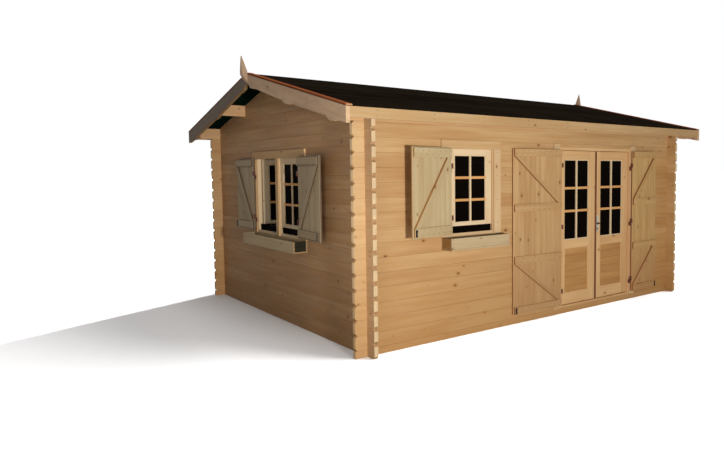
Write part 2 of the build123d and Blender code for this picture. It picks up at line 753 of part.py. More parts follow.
def window_shutter(width, bottom, rising):
    """A window's shutter: a batten at each end and one brace."""
    low, high = bottom + window_shutter_low, bottom + window_shutter_high
    places = (low + shutter_end_margin, high - shutter_end_margin - shutter_batten_height)
    braces = [(places[0] + shutter_batten_height, places[1], rising)]
    return shutter(width, low, high, shutter_batten_height, places, braces)


def door_shutter(width, rising):
    """A door's shutter: four battens, with braces in the top and bottom bays."""
    height = door_shutter_top - door_shutter_bottom
    travel = height - shutter_door_batten_height
    places = [door_shutter_bottom + share * travel for share in door_batten_shares]
    bays = [(places[low] + shutter_door_batten_height, places[low + 1], rising) for low in (0, 2)]
    return shutter(width, door_shutter_bottom, door_shutter_top, shutter_door_batten_height, places, bays)


def window_hinge_places(bottom):
    """Heights of a window shutter's two hinges."""
    return (bottom + window_shutter_low + hinge_inset,
            bottom + window_shutter_high - hinge_inset - barrel_height)


door_hinge_heights = (door_shutter_bottom + hinge_inset, (door_shutter_bottom + door_shutter_top) / 2,
                      door_shutter_top - hinge_inset - barrel_height)
hangings = (
    ("left_door_shutter", door_shutter(left_shutter_width, True), left_shutter_width, door_hinge_heights,
     door_centre - door_half, front_axis, 0, -1, door_shutter_angle),
    ("right_door_shutter", door_shutter(right_shutter_width, True), right_shutter_width, door_hinge_heights,
     door_centre + door_half, front_axis, 180, 1, door_shutter_angle),
    ("front_window_shutter", window_shutter(front_shutter_width, front_window_bottom, False),
     front_shutter_width, window_hinge_places(front_window_bottom),
     front_window_centre - front_window_half, front_axis, 0, -1, front_shutter_angle),
    ("gable_left_shutter", window_shutter(gable_shutter_width, gable_window_bottom, True),
     gable_shutter_width, window_hinge_places(gable_window_bottom),
     left_axis, gable_window_centre + gable_window_half, -90, -1, gable_left_shutter_angle),
    ("gable_right_shutter", window_shutter(gable_shutter_width, gable_window_bottom, True),
     gable_shutter_width, window_hinge_places(gable_window_bottom),
     left_axis, gable_window_centre - gable_window_half, 90, 1, gable_right_shutter_angle),
)
for node, pieces, width, places, axis_x, axis_y, facing, turn, swing in hangings:
    save(node, *hang(pieces, axis_x, axis_y, facing, turn, swing))
    save(node + "_hinges", *hang(shutter_straps(width, places), axis_x, axis_y, facing, turn, swing))
    pins += hang(shutter_pintles(places), axis_x, axis_y, facing, turn, 0)
save("hinge_pins", *pins)
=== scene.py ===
# %% [markdown]
# # Dressing a garden log cabin
#
# The cabin's solids come packed from a CAD model: notched logs, a low gable roof, a double door, windows,
# shutters and window boxes. This lesson keeps every solid where it is and gives it the looks of planed pine.
# Every length is in metres, with +Z up and the front wall facing -Y.

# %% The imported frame
import json
import math
import random
from collections import namedtuple
import bmesh
import bpy
import numpy as np
from mathutils import Matrix, Vector
from mathutils.bvhtree import BVHTree


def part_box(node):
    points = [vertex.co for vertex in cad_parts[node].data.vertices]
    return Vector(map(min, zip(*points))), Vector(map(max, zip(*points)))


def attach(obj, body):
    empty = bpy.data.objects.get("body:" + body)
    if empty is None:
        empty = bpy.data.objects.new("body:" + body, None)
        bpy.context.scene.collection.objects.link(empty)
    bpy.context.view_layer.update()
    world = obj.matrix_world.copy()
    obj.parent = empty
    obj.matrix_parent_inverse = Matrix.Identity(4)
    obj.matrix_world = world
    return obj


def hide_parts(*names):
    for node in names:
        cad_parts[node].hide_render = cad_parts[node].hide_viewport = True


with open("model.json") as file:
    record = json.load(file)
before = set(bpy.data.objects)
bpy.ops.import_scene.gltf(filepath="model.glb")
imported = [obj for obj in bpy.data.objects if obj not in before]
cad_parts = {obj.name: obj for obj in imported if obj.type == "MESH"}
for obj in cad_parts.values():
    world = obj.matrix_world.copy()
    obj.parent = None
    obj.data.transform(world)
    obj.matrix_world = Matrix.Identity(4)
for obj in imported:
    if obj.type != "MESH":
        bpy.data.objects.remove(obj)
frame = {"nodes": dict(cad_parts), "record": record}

nodes = frame["nodes"]
behaviour = frame["record"]["behaviour"]
body_of = {node: body for body, members in behaviour["bodies"].items() for node in members}
slot_of = {part["node"]: part["material_slot"] for part in frame["record"]["subparts"]}
scene = bpy.context.scene
east, north, up = Vector((1, 0, 0)), Vector((0, 1, 0)), Vector((0, 0, 1))
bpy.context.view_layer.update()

# %% [markdown]
# ## Camera
#
# A camera could be placed by eye, but a lens, a turn and a principal point worked out from the cabin's
# corners repeat the same view each time. The picture is 724 by 462 pixels, and the cabin stands right of the
# middle of the lens, so a shift of the lens moves the picture's frame and the camera needs no other turn.

# %% Camera
picture_width, picture_height = 724, 462
focal_pixels, lens_centre = 619.55, (459.43, 211.85)
turn, dip, lean = (math.radians(angle) for angle in (39.333, 3.756, -0.3))
viewpoint = Vector((-5.188, -6.613, 1.652))
ahead = Vector((math.sin(turn) * math.cos(dip), math.cos(turn) * math.cos(dip), -math.sin(dip)))
right = Vector((math.cos(turn), -math.sin(turn), 0))
above = right.cross(ahead)
rightward = right * math.cos(lean) + above * math.sin(lean)
upward = above * math.cos(lean) - right * math.sin(lean)
lens = bpy.data.cameras.new("camera")
lens.sensor_width = 36
lens.lens = focal_pixels / picture_width * lens.sensor_width
lens.shift_x = (picture_width / 2 - lens_centre[0]) / picture_width
lens.shift_y = (lens_centre[1] - picture_height / 2) / picture_width
camera = bpy.data.objects.new("camera", lens)
camera_turn = Matrix((rightward, upward, -ahead)).transposed().to_4x4()
camera.matrix_world = Matrix.Translation(viewpoint) @ camera_turn
scene.collection.objects.link(camera)
scene.camera = camera
print("lens", round(lens.lens, 2), "mm, shift", round(lens.shift_x, 4), round(lens.shift_y, 4))

# %% [markdown]
# ## Wiring
#
# Materials and node trees are long lists of boxes and links. A small class keeps them readable: it wraps a
# socket, so that sums are written as sums, and its one method adds any other node with its settings first.


# %% Wiring
class Wire:
    """A node's output socket. Sums written with it add Math nodes to its tree."""

    def __init__(self, tree, socket):
        self.tree = tree
        self.socket = socket

    @classmethod
    def node(cls, tree, kind, settings=None, sockets=None, out=None):
        """Adds one node and returns its output, the first one or the one named."""
        made = tree.nodes.new(kind)
        for key, value in (settings or {}).items():
            setattr(made, key, value)
        for key, value in (sockets or {}).items():
            socket = made.inputs[key] if isinstance(key, int) else next(
                s for s in made.inputs if s.enabled and s.name == key)
            if isinstance(value, Wire):
                tree.links.new(value.socket, socket)
            else:
                socket.default_value = value
        outputs = [s for s in made.outputs if s.enabled]
        named = [s for s in outputs if s.name == out]
        return cls(tree, (named or outputs or [None])[0])

    def out(self, name):
        """Another output of the same node."""
        return Wire(self.tree, self.socket.node.outputs[name])

    def maths(self, operation, first, second=0.0):
        return Wire.node(self.tree, "ShaderNodeMath", {"operation": operation}, {0: first, 1: second})

    def __add__(self, other):
        return self.maths("ADD", self, other)

    def __sub__(self, other):
        return self.maths("SUBTRACT", self, other)

    def __mul__(self, other):
        return self.maths("MULTIPLY", self, other)

    def __truediv__(self, other):
        return self.maths("DIVIDE", self, other)

    def __pow__(self, other):
        return self.maths("POWER", self, other)

    def __lt__(self, other):
        return self.maths("LESS_THAN", self, other)

    def __radd__(self, other):
        return self.maths("ADD", other, self)

    def __rsub__(self, other):
        return self.maths("SUBTRACT", other, self)

    def __rmul__(self, other):
        return self.maths("MULTIPLY", other, self)

    def absolute(self):
        return self.maths("ABSOLUTE", self)

    def sine(self):
        return self.maths("SINE", self)

    def floor(self):
        return self.maths("FLOOR", self)

    def fraction(self):
        return self.maths("FRACT", self)

    def ease(self, low, high):
        """0 below low, 1 above high, and a smooth step between."""
        return Wire.node(self.tree, "ShaderNodeMapRange", {"interpolation_type": "SMOOTHSTEP"},
                         {"Value": self, "From Min": low, "From Max": high})


print("wiring ready")


# %% Colours and vectors
def linear(value):
    """A screen colour, three numbers from 0 to 255, as shaders take it. Anything else passes through."""
    if isinstance(value, Wire) or len(value) != 3:
        return value
    shares = [channel / 255 for channel in value]
    return (*[s / 12.92 if s <= 0.04045 else ((s + 0.055) / 1.055) ** 2.4 for s in shares], 1.0)


def mix(factor, first, second):
    """A colour between two colours."""
    return Wire.node(factor.tree, "ShaderNodeMix", {"data_type": "RGBA"},
                     {"Factor": factor, "A": linear(first), "B": linear(second)})


def vector(x, y, z):
    """Three values as one vector."""
    tree = next(value.tree for value in (x, y, z) if isinstance(value, Wire))
    return Wire.node(tree, "ShaderNodeCombineXYZ", None, {"X": x, "Y": y, "Z": z})


def split(place):
    """A vector's X, whose other outputs are Y and Z."""
    return Wire.node(place.tree, "ShaderNodeSeparateXYZ", None, {"Vector": place})


def cabin_place(tree):
    """A point's place in the cabin, in metres."""
    return Wire.node(tree, "ShaderNodeTexCoord", None, None, "Object")


def attribute(tree, name, out="Fac"):
    """A value that the mesh carries."""
    return Wire.node(tree, "ShaderNodeAttribute", {"attribute_name": name}, None, out)


def noise(place, detail=2.0, roughness=0.5, scale=1.0):
    """Smooth noise, 0 to 1."""
    return Wire.node(place.tree, "ShaderNodeTexNoise", None,
                     {"Vector": place, "Scale": scale, "Detail": detail, "Roughness": roughness}, "Fac")


print("white is", linear((255, 255, 255)))


# %% Starting and ending a finish
def start_finish(name, **constants):
    """A material with one Principled shader, whose constant values are set on its own sockets."""
    material = bpy.data.materials.new(name)
    material.use_nodes = True
    shader = material.node_tree.nodes["Principled BSDF"]
    for key, value in constants.items():
        shader.inputs[key.replace("_", " ").title().replace("Ior", "IOR")].default_value = value
    return material, material.node_tree, shader


def bump(height, strength, distance):
    """A relief that bends the light and leaves the mesh flat."""
    return Wire.node(height.tree, "ShaderNodeBump", None,
                     {"Strength": strength, "Distance": distance, "Height": height})


def feed(shader, ground, gloss=None, relief=None):
    """Links what changes over a surface to its shader: colour, roughness and bump."""
    for wire, name in ((ground, "Base Color"), (gloss, "Roughness"), (relief, "Normal")):
        if wire is not None:
            wire.tree.links.new(wire.socket, shader.inputs[name])


print("finish helpers ready")

# %% [markdown]
# ## Pine
#
# Planed pine is a pale ground with warm streaks along the board, fine growth lines, and knots that the lines
# flow round. Noise on plain coordinates would run straight from one log into the next. So every board carries
# its own directions as an attribute called grain: along the board, across its face and through its thickness,
# with a start of its own. A second attribute, tint, makes boards differ, a third, cut, marks sawn ends, and a
# fourth, edge, marks edges of another colour.

# %% Knots and wear
knot_brown, weathered_grey, joint_shade = (108, 62, 30), (150, 130, 108), (46, 30, 16)
wall_x, wall_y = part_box("right_gable_wall")[1].x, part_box("back_wall")[1].y


def knots_in(along, side, share):
    """Scattered knots: their dark hearts, and how far the lines round them are bent."""
    run_cells, rise_cells = 2.6, 8.0
    spots = Wire.node(along.tree, "ShaderNodeTexVoronoi", {"voronoi_dimensions": "3D", "feature": "F1"},
                      {"Vector": vector(along * run_cells, side * rise_cells, 0.5), "Scale": 1.0,
                       "Randomness": 0.9}, "Position")
    lots = Wire.node(along.tree, "ShaderNodeSeparateColor", None, {"Color": spots.out("Color")}, "Red")
    place = split(spots)
    run = (along * run_cells - place) / run_cells
    rise = (side * rise_cells - place.out("Y")) / rise_cells
    away = (run * run * 0.45 + rise * rise) ** 0.5
    size = lots.out("Green") * 0.010 + 0.003
    there = lots < share
    return [(1 - (away / size).ease(0.6, rim)) * there for rim in (1.3, 4.0)]


def highlighted_ends(ground, tint):
    """Pales the log ends that run out past the crossing walls, a painted highlight for light on the corners.
    """
    x = split(cabin_place(ground.tree))
    past_gable = x.absolute().ease(wall_x - 0.05, wall_x + 0.02)
    past_front = x.out("Y").absolute().ease(wall_y - 0.05, wall_y + 0.02)
    return mix(past_gable * past_front * 0.25, ground, tint)


def deepened_low(ground, tint, cloud):
    """Deepens the wood near the ground, with an uneven upper edge."""
    z = split(cabin_place(ground.tree)).out("Z")
    return mix((1 - (z + cloud * 0.3).ease(0.3, 1.1)) * 0.42, ground, tint)


def shade_soffits(ground, tint, streak):
    """Darkens what lies outside the walls nearly to black, painted shade for the soffits, and leaves the wood
    over the room bare.
    """
    x = split(cabin_place(ground.tree))
    indoors = (x.absolute() < wall_x - 0.01) * (x.out("Y").absolute() < wall_y - 0.01)
    return mix(1 - indoors, ground, mix(streak, tint, tuple(2 * channel for channel in tint)))


print("walls' outer faces at", round(wall_x, 3), "and", round(wall_y, 3))


# %% Pine
def pine(name, pale, warm, deep, end, knots=0.3, streaks=1.0, tints=0.2, joint=0.0, edge=None, weather=0.0,
         end_highlight=None, soffit_shade=None, low_tint=None, shine=0.25):
    """Planed pine from screen colours: pale ground, warm streaks, deep lines and end grain."""
    material, tree, shader = start_finish(name, specular_ior_level=shine)
    tint, cut = attribute(tree, "tint"), attribute(tree, "cut")
    along = split(attribute(tree, "grain", "Vector"))
    side, depth = along.out("Y"), along.out("Z")
    if joint:
        groove = ((side / joint).fraction() - 0.5).absolute().ease(0.475, 0.492)
        tint = Wire.node(tree, "ShaderNodeTexWhiteNoise", {"noise_dimensions": "1D"},
                         {"W": (side / joint).floor()}, "Value")
        along = along + tint * 7.3
    heart, flow = knots_in(along, side, knots)
    drift = noise(vector(along * 0.8, side * 5.0, depth * 5.0 + tint * 9.0))
    lines = ((side + drift * 0.07 + flow * 0.012 + depth * 0.6) * 560.0).sine() * 0.5 + 0.5
    streak = noise(vector(along * 1.3, side * 24.0, depth * 24.0 + tint * 17.0), 4.0, 0.62)
    fibre = noise(vector(along * 22.0, side * 520.0, depth * 520.0))
    cloud = noise(vector(along * 0.7, side * 2.5, tint * 40.0)).ease(0.35, 0.8)
    ground = mix((streak.ease(0.3, 0.72) * 0.85 + lines * 0.2 + fibre * 0.18) * streaks, pale, warm)
    for share in (cloud * 0.5 + lines * flow * 0.35, (tint - 0.5).absolute() * tints * 2, (flow ** 3) * 0.45):
        ground = mix(share, ground, deep)
    ground = mix(heart * 0.85, ground, knot_brown)
    ring = ((side * side + depth * depth) ** 0.5 * 900.0 + drift * 9.0).sine() * 0.5 + 0.5
    ground = mix(cut, ground, mix(ring * 0.45 + fibre * 0.2, end, warm))
    height = lines * 0.35 + fibre * 0.4 + streak * 0.3 + heart * 0.5
    if weather:
        grey = noise(vector(along * 3.0, side * 9.0, depth * 9.0 + tint * 5.0), 3.0).ease(0.42, 0.7)
        ground = mix(grey * weather, ground, weathered_grey)
    if end_highlight:
        ground = highlighted_ends(ground, end_highlight)
    # Edges take another colour: dark from a dip on the shutters, painted shade in their margins and on the
    # gable, and a painted highlight under the bargeboards.
    if edge:
        ground = mix(attribute(tree, "edge") * (0.8 + fibre * 0.2), ground, edge)
    if low_tint:
        ground = deepened_low(ground, low_tint, cloud)
    if joint:
        ground = mix(groove, ground, joint_shade)
        height = height - groove * 4.0
    if soffit_shade:
        ground = shade_soffits(ground, soffit_shade, streak)
    feed(shader, ground, 0.56 + fibre * 0.12 - heart * 0.1, bump(height, 0.35, 0.0006))
    return material


finishes = {
    "log": pine("honey_log_pine", (210, 174, 125), (195, 153, 101), (166, 115, 62), (224, 198, 156),
                end_highlight=(224, 198, 154), low_tint=(172, 120, 62)),
    # Right of the door the logs are deeper, partly their own golden tone and partly painted shade.
    "golden_log": pine("golden_log_pine", (207, 167, 113), (191, 146, 90), (162, 110, 54), (220, 188, 140),
                       end_highlight=(214, 180, 130), low_tint=(166, 112, 54)),
    # The gable's logs are a slightly darker copy of the log finish, painted shade, with weathered grey
    # patches.
    "gable_log": pine("shaded_log_pine", (202, 165, 121), (186, 143, 98), (152, 105, 62), (224, 198, 156),
                      streaks=1.4, tints=0.45, weather=0.22, end_highlight=(224, 198, 154)),
    "trim": pine("pale_trim_pine", (219, 189, 147), (208, 173, 127), (182, 140, 92), (222, 192, 148)),
    "flush_trim": pine("flush_trim_pine", (211, 177, 130), (198, 158, 108), (174, 128, 78), (217, 182, 132)),
    "sash": pine("sash_pine", (234, 212, 176), (224, 197, 155), (204, 168, 120), (236, 206, 160), knots=0.1),
    "bar": pine("cross_bar_pine", (226, 174, 112), (212, 154, 92), (186, 126, 70), (226, 180, 120),
                knots=0.05),
    "fascia": pine("fascia_pine", (203, 172, 127), (190, 154, 106), (166, 126, 78), (214, 184, 140)),
    "door": pine("door_pine", (226, 187, 135), (212, 168, 115), (187, 139, 88), (226, 187, 136), knots=0.2),
    # The lower panel is a darker copy of the door finish, painted shade for its recess.
    "panel": pine("door_panel_pine", (199, 152, 93), (182, 131, 74), (150, 100, 52), (196, 150, 98),
                  knots=0.1),
    # The meeting strip is dark red-brown, partly its own colour and partly painted shade for the gap between
    # the leaves.
    "meeting": pine("meeting_strip_pine", (122, 66, 42), (108, 56, 34), (84, 42, 26), (120, 70, 46),
                    knots=0.05),
    "shutter": pine("shutter_pine", (208, 174, 125), (192, 152, 102), (164, 120, 72), (196, 160, 112),
                    knots=0.5, streaks=1.2, tints=0.35, edge=(122, 56, 30), low_tint=(160, 114, 74)),
    "green_shutter": pine("green_shutter_pine", (208, 174, 116), (194, 154, 96), (170, 126, 72),
                          (196, 160, 112), knots=0.5, streaks=1.2, tints=0.35, edge=(120, 44, 30),
                          low_tint=(160, 106, 68)),
    "window_shutter": pine("window_shutter_pine", (202, 182, 143), (190, 166, 124), (170, 141, 97),
                           (198, 170, 124), knots=0.5, streaks=1.2, tints=0.25, edge=(148, 100, 42)),
    # The gable's shutters are a darker, greyer copy of the shutter finish with near-black edges, painted
    # shade.
    "gable_shutter": pine("gable_shutter_pine", (186, 166, 133), (172, 151, 116), (150, 124, 90),
                          (184, 158, 116), knots=0.5, tints=0.22, edge=(52, 30, 24)),
    # The box's dark end grain and its darker end boards are painted shade for the box's shaded ends.
    "box": pine("planter_pine", (198, 177, 140), (185, 160, 121), (164, 136, 96), (124, 86, 42), knots=0.4),
    "box_end": pine("planter_end_pine", (152, 112, 63), (138, 97, 48), (112, 75, 34), (116, 80, 38)),
    # The gable box's near end board is nearly black, painted shade.
    "box_shade": pine("planter_shade_pine", (52, 49, 36), (42, 40, 30), (32, 30, 22), (38, 36, 26), knots=0.2,
                      shine=0.0),
    # The bargeboards' lower faces take a bright edge colour, a painted highlight.
    "barge": pine("bargeboard_pine", (210, 178, 145), (195, 159, 124), (162, 125, 94), (226, 190, 144),
                  knots=0.4, weather=0.35, edge=(246, 202, 132)),
    # The left gable's back bargeboard is a darker copy, painted shade, with a paler painted highlight on its
    # lower faces.
    "old_barge": pine("weathered_bargeboard_pine", (102, 84, 62), (88, 71, 52), (70, 55, 40), (140, 112, 82),
                      edge=(150, 118, 78)),
    "cap": pine("verge_cap_pine", (152, 88, 54), (138, 76, 46), (106, 56, 36), (206, 160, 116), knots=0.2,
                shine=0.0),
    "floor": pine("floor_pine", (204, 166, 116), (190, 148, 98), (164, 120, 74), (206, 170, 122),
                  joint=0.096),
    "rafter": pine("purlin_pine", (218, 177, 129), (204, 158, 108), (177, 129, 81), (226, 189, 142)),
    # Outside the walls the deck is darkened nearly to black, and its end grain is dark: painted shade for the
    # soffits.
    "deck": pine("roof_board_pine", (204, 166, 116), (190, 148, 98), (164, 120, 74), (60, 58, 44),
                 joint=0.096, soffit_shade=(8, 18, 13), shine=0.0),
}
print(len(finishes), "pine finishes")

# %% [markdown]
# ## Felt, glass and metal
#
# Roofing felt is a dark sheet with mineral grit. Real grit would be millions of grains, so fine noise gives
# its speckle and its roughness. The panes are nearly black and opaque, painted shade for the dark room
# behind them, and the iron is painted.


# %% Felt, glass and metal
def felt_finish():
    """Dark felt with grit, worn patches and a shade for each sheet."""
    material, tree, shader = start_finish("roofing_felt", specular_ior_level=0.0)
    place = cabin_place(tree)
    grit, patch, scuff = noise(place, 3.0, 0.7, 420.0), noise(place, 3.0, 0.6, 1.7), noise(place, scale=14.0)
    ground = mix(patch.ease(0.3, 0.75), (20, 15, 11), (28, 22, 16))
    ground = mix(attribute(tree, "tint") * 0.5, ground, (36, 29, 22))
    ground = mix(grit.ease(0.55, 0.8) * 0.5, ground, (46, 38, 30))
    feed(shader, ground, 0.82 + grit * 0.15, bump(grit + scuff * 0.8, 0.5, 0.0012))
    return material


def glass_finish():
    """Panes nearly black and almost opaque, painted shade for the dark room behind them, with a slight
    ripple.
    """
    material, tree, shader = start_finish("dark_glass", alpha=0.98, specular_ior_level=0.002)
    ripple = noise(cabin_place(tree), scale=3.0)
    feed(shader, mix(ripple, (10, 7, 5), (16, 11, 8)), 0.04 + ripple * 0.05)
    return material


def metal_finish(name, paint, worn, metallic, roughness, grain=60.0, shine=0.5):
    """Painted or bare metal with rubbed patches of a given grain."""
    material, tree, shader = start_finish(name, metallic=metallic, specular_ior_level=shine)
    rub, fine = noise(cabin_place(tree), 3.0, 0.6, grain), noise(cabin_place(tree), scale=700.0)
    feed(shader, mix(rub.ease(0.45, 0.75), paint, worn), roughness + rub * 0.2, bump(fine + rub, 0.2, 0.0004))
    return material


finishes.update({
    "felt": felt_finish(),
    "seam": metal_finish("pressed_bitumen", (46, 38, 31), (58, 49, 41), 0.0, 0.8, 30.0, 0.0),
    "glass": glass_finish(),
    "iron": metal_finish("painted_iron", (94, 48, 34), (114, 66, 48), 0.1, 0.55),
    "nail": metal_finish("dull_nail_steel", (92, 74, 58), (60, 46, 36), 0.6, 0.45),
    "bolt": metal_finish("dark_bolt_iron", (34, 26, 22), (58, 44, 36), 0.3, 0.5),
    "clout": metal_finish("tarred_clout", (22, 17, 12), (30, 23, 17), 0.0, 0.8, shine=0.0),
    "handle": metal_finish("satin_handle_metal", (208, 210, 196), (188, 190, 176), 0.75, 0.28, 90.0),
    "keyway": metal_finish("dark_lever_metal", (46, 44, 40), (70, 66, 58), 0.7, 0.35, 90.0),
})
print(len(finishes), "finishes in all")

# %% [markdown]
# ## Boards with a direction
#
# The frame's meshes are loose triangles with sharp edges. A copy of a node is merged, its edges are broken
# by a small bevel as a plane would do, and each separate board in it is found by following its edges. Grain
# could be listed board by board, but the longest spread of a board's corners already gives it, so a log, a
# jamb and a slanting brace all get theirs without a list.


# %% Boards in a mesh
def islands(shape):
    """The separate pieces of a mesh, as lists of vertices. A set has no fixed order, so all is sorted."""
    left = set(shape.verts)
    found = []
    while left:
        stack = [left.pop()]
        piece = []
        while stack:
            vert = stack.pop()
            piece.append(vert)
            for edge in vert.link_edges:
                other = edge.other_vert(vert)
                if other in left:
                    left.remove(other)
                    stack.append(other)
        found.append(sorted(piece, key=lambda v: (v.co.to_tuple(4), v.co[:])))
    return sorted(found, key=lambda piece: (piece[0].co.to_tuple(4), piece[-1].co[:]))


def points_of(piece):
    """The corners of a piece, as rows of numbers."""
    return np.array([v.co for v in piece])


def directions(points, along=None):
    """Length, width and thickness directions of a board, from the spread of its corners."""
    spread = np.cov((points - points.mean(0)).T)
    axes = [Vector(axis) for axis in np.linalg.eigh(spread)[1].T[::-1]]
    if along is not None:
        axes = [Vector(along)] + [axis for axis in axes if abs(axis.dot(along)) < 0.5]
    for index, axis in enumerate(axes):
        for world in (east, north, up):
            if abs(axis.dot(world)) > 0.994:
                axes[index] = world
    return axes


def tidy_copy(node):
    """A node's mesh with its triangles joined into whole faces."""
    shape = bmesh.new()
    shape.from_mesh(nodes[node].data)
    bmesh.ops.remove_doubles(shape, verts=shape.verts, dist=2e-5)
    bmesh.ops.dissolve_limit(shape, angle_limit=math.radians(0.5), verts=shape.verts, edges=shape.edges)
    return shape


back_logs = tidy_copy("back_wall")
print("the back wall has", len(islands(back_logs)), "logs")
back_logs.free()

# %% Grain and soft edges
dice = random.Random(11)
grain_run, grain_shift = 40, 0.4


def give_grain(shape, along=None, faces=None):
    """Writes grain, tint, cut and edge on every board of a mesh."""
    grain = shape.verts.layers.float_vector.new("grain")
    tint = shape.verts.layers.float.new("tint")
    cut = shape.faces.layers.float.new("cut")
    edge = shape.faces.layers.float.new("edge")
    for piece in islands(shape):
        points = points_of(piece)
        length, width, thickness = directions(points, along)
        middle = Vector(points.mean(0))
        start = Vector((dice.uniform(0, grain_run), dice.uniform(-grain_shift, grain_shift), 0))
        shade = dice.random()
        for vert in piece:
            off = vert.co - middle
            vert[grain] = start + Vector((off.dot(length), off.dot(width), off.dot(thickness)))
            vert[tint] = shade
        for face in {face for vert in piece for face in vert.link_faces}:
            face[cut] = 1.0 if abs(face.normal.dot(length)) > 0.8 else 0.0
            if faces is not None:
                face[edge] = faces(face)
    return shape


def soften(shape, radius, steps=2):
    """Breaks every sharp edge with a small round."""
    if radius:
        sharp = [e for e in shape.edges if e.is_manifold and e.calc_face_angle(0) > math.radians(30)]
        bmesh.ops.bevel(shape, geom=sharp, offset=radius, segments=steps, profile=0.6, affect="EDGES",
                        clamp_overlap=False)
    return shape


print("grain starts anywhere in", grain_run, "m of timber")


# %% Pieces on their bodies
def place_piece(name, shape, finish, body, slot, *replaced):
    """Makes an object of a mesh, and lets it ride on its body in place of any nodes."""
    mesh = bpy.data.meshes.new(name)
    bmesh.ops.recalc_face_normals(shape, faces=shape.faces)
    shape.to_mesh(mesh)
    shape.free()
    piece = bpy.data.objects.new(name, mesh)
    mesh.materials.append(finishes[finish])
    scene.collection.objects.link(piece)
    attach(piece, body)
    if replaced:
        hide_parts(*replaced)


def place_for(node, ending, shape, finish, *replaced):
    """Places a piece on a node's body, with a name that starts with the node's."""
    place_piece(node + ending, shape, finish, body_of[node], slot_of[node], *replaced)


def dress(node, finish, radius=0.0, along=None):
    """Puts a softened copy with a grain in place of a timber node."""
    place_for(node, "_timber", give_grain(soften(tidy_copy(node), radius), along), finish, node)


def dress_apart(node, radius, choose, faces=None):
    """Dresses a node whose boards differ in finish, with one piece for each finish that choose() names."""
    whole = tidy_copy(node)
    kinds = [choose(Vector(points_of(piece).mean(0))) for piece in islands(whole)]
    whole.free()
    for number, finish in enumerate(sorted(set(kinds))):
        shape = tidy_copy(node)
        others = [piece for piece, kind in zip(islands(shape), kinds) if kind != finish]
        bmesh.ops.delete(shape, geom=[v for piece in others for v in piece], context="VERTS")
        give_grain(soften(shape, radius), None, faces)
        place_for(node, "_" + finish, shape, finish, *([node] if number == 0 else []))


print("bodies to ride on:", sorted(set(body_of.values())))

# %% [markdown]
# ## Logs, roof timbers and trim
#
# The notched corners are the cabin's best work. They could be modelled again, but the solids already fit
# each other, so a dressed copy takes each one's place. The logs keep their small chamfers, and most of the
# planed trim gets a rounder edge than sawn roof timber.

# %% Logs, roof timbers and trim
slope = math.radians(13.5)
# Radii of broken edges.
sawn, slight, planed, rounded = 0.002, 0.002, 0.0025, 0.003
window_middle, door_middle, gable_middle = (
    sum(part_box(node), Vector()) / 2 for node in ("front_window_frame", "door_frame", "gable_window_frame"))
timber = [
    ("front_sill_log", "log", 0), ("front_wall_left", "log", 0), ("front_wall_right", "golden_log", 0),
    ("front_wall_top", "log", 0), ("back_wall", "log", 0), ("left_gable_wall", "gable_log", 0),
    ("right_gable_wall", "log", 0), ("eave_plates", "rafter", sawn), ("floor_joists", "rafter", sawn),
    ("roof_purlins", "rafter", sawn), ("eave_fascias", "fascia", planed), ("verge_caps", "cap", planed),
    ("ridge_finials", "barge", slight), ("door_frame", "door", slight),
    ("front_window_frame", "trim", slight), ("gable_window_frame", "sash", slight),
]
for node, finish, radius in timber:
    dress(node, finish, radius)
dress_apart("architraves", rounded,
            lambda middle: "flush_trim" if middle.x < -2.3 or middle.z > 1.8 else "trim")
# The front box's end boards take a darker finish, painted shade.
dress_apart("front_window_box", planed,
            lambda middle: "box_end" if abs(middle.x - window_middle.x) > 0.3 else "box")
# The gable box's board at its near end is painted shade.
dress_apart("gable_window_box", planed, lambda middle: "box_shade" if middle.y < -0.6 else "box")
# The bargeboards' lower faces take a painted highlight, and the left gable's back boards painted shade.
dress_apart("bargeboards", rounded, lambda middle: "old_barge" if middle.y > 0 > middle.x else "barge",
            lambda face: 1.0 if face.normal.z < -0.3 else 0.0)
dress("floor_boards", "floor", 0, east)
dress("front_roof_boards", "deck", 0, (0, math.cos(slope), math.sin(slope)))
dress("back_roof_boards", "deck", 0, (0, math.cos(slope), -math.sin(slope)))
plain_finishes = {"roof_felt": "felt", "glass": "glass", "black_iron": "iron"}
for node in nodes:
    if slot_of[node] in plain_finishes:
        nodes[node].data.materials[0] = finishes[plain_finishes[slot_of[node]]]
print(len(timber), "timber nodes dressed whole, the trim, planters and boards besides")

# %% [markdown]
# ## A row of boards
#
# Shutter boards, panel boards and window bars are all one plain board repeated at an even pitch. A modelled
# array would need a copy for each size, so one Geometry Nodes tree makes every row from named sizes.


# %% Node trees
def start_tree(name, **inputs):
    """A tree with named inputs: the tree, the identifiers that set them, and their wires."""
    tree = bpy.data.node_groups.new(name, "GeometryNodeTree")
    keys = {}
    for title, kind in inputs.items():
        made = tree.interface.new_socket(title, in_out="INPUT", socket_type="NodeSocket" + kind)
        keys[title] = made.identifier
    tree.interface.new_socket("Geometry", in_out="OUTPUT", socket_type="NodeSocketGeometry")
    return tree, keys, Wire.node(tree, "NodeGroupInput")


def end_tree(points, piece, finish, **sockets):
    """Sets a piece on every point, makes the copies real and gives them their finish."""
    tree = points.tree
    copies = Wire.node(tree, "GeometryNodeInstanceOnPoints", None,
                       {"Points": points, "Instance": piece, **sockets})
    copies = Wire.node(tree, "GeometryNodeRealizeInstances", None, {"Geometry": copies})
    copies = Wire.node(tree, "GeometryNodeSetMaterial", None, {"Geometry": copies, "Material": finish})
    Wire.node(tree, "NodeGroupOutput", None, {"Geometry": copies})


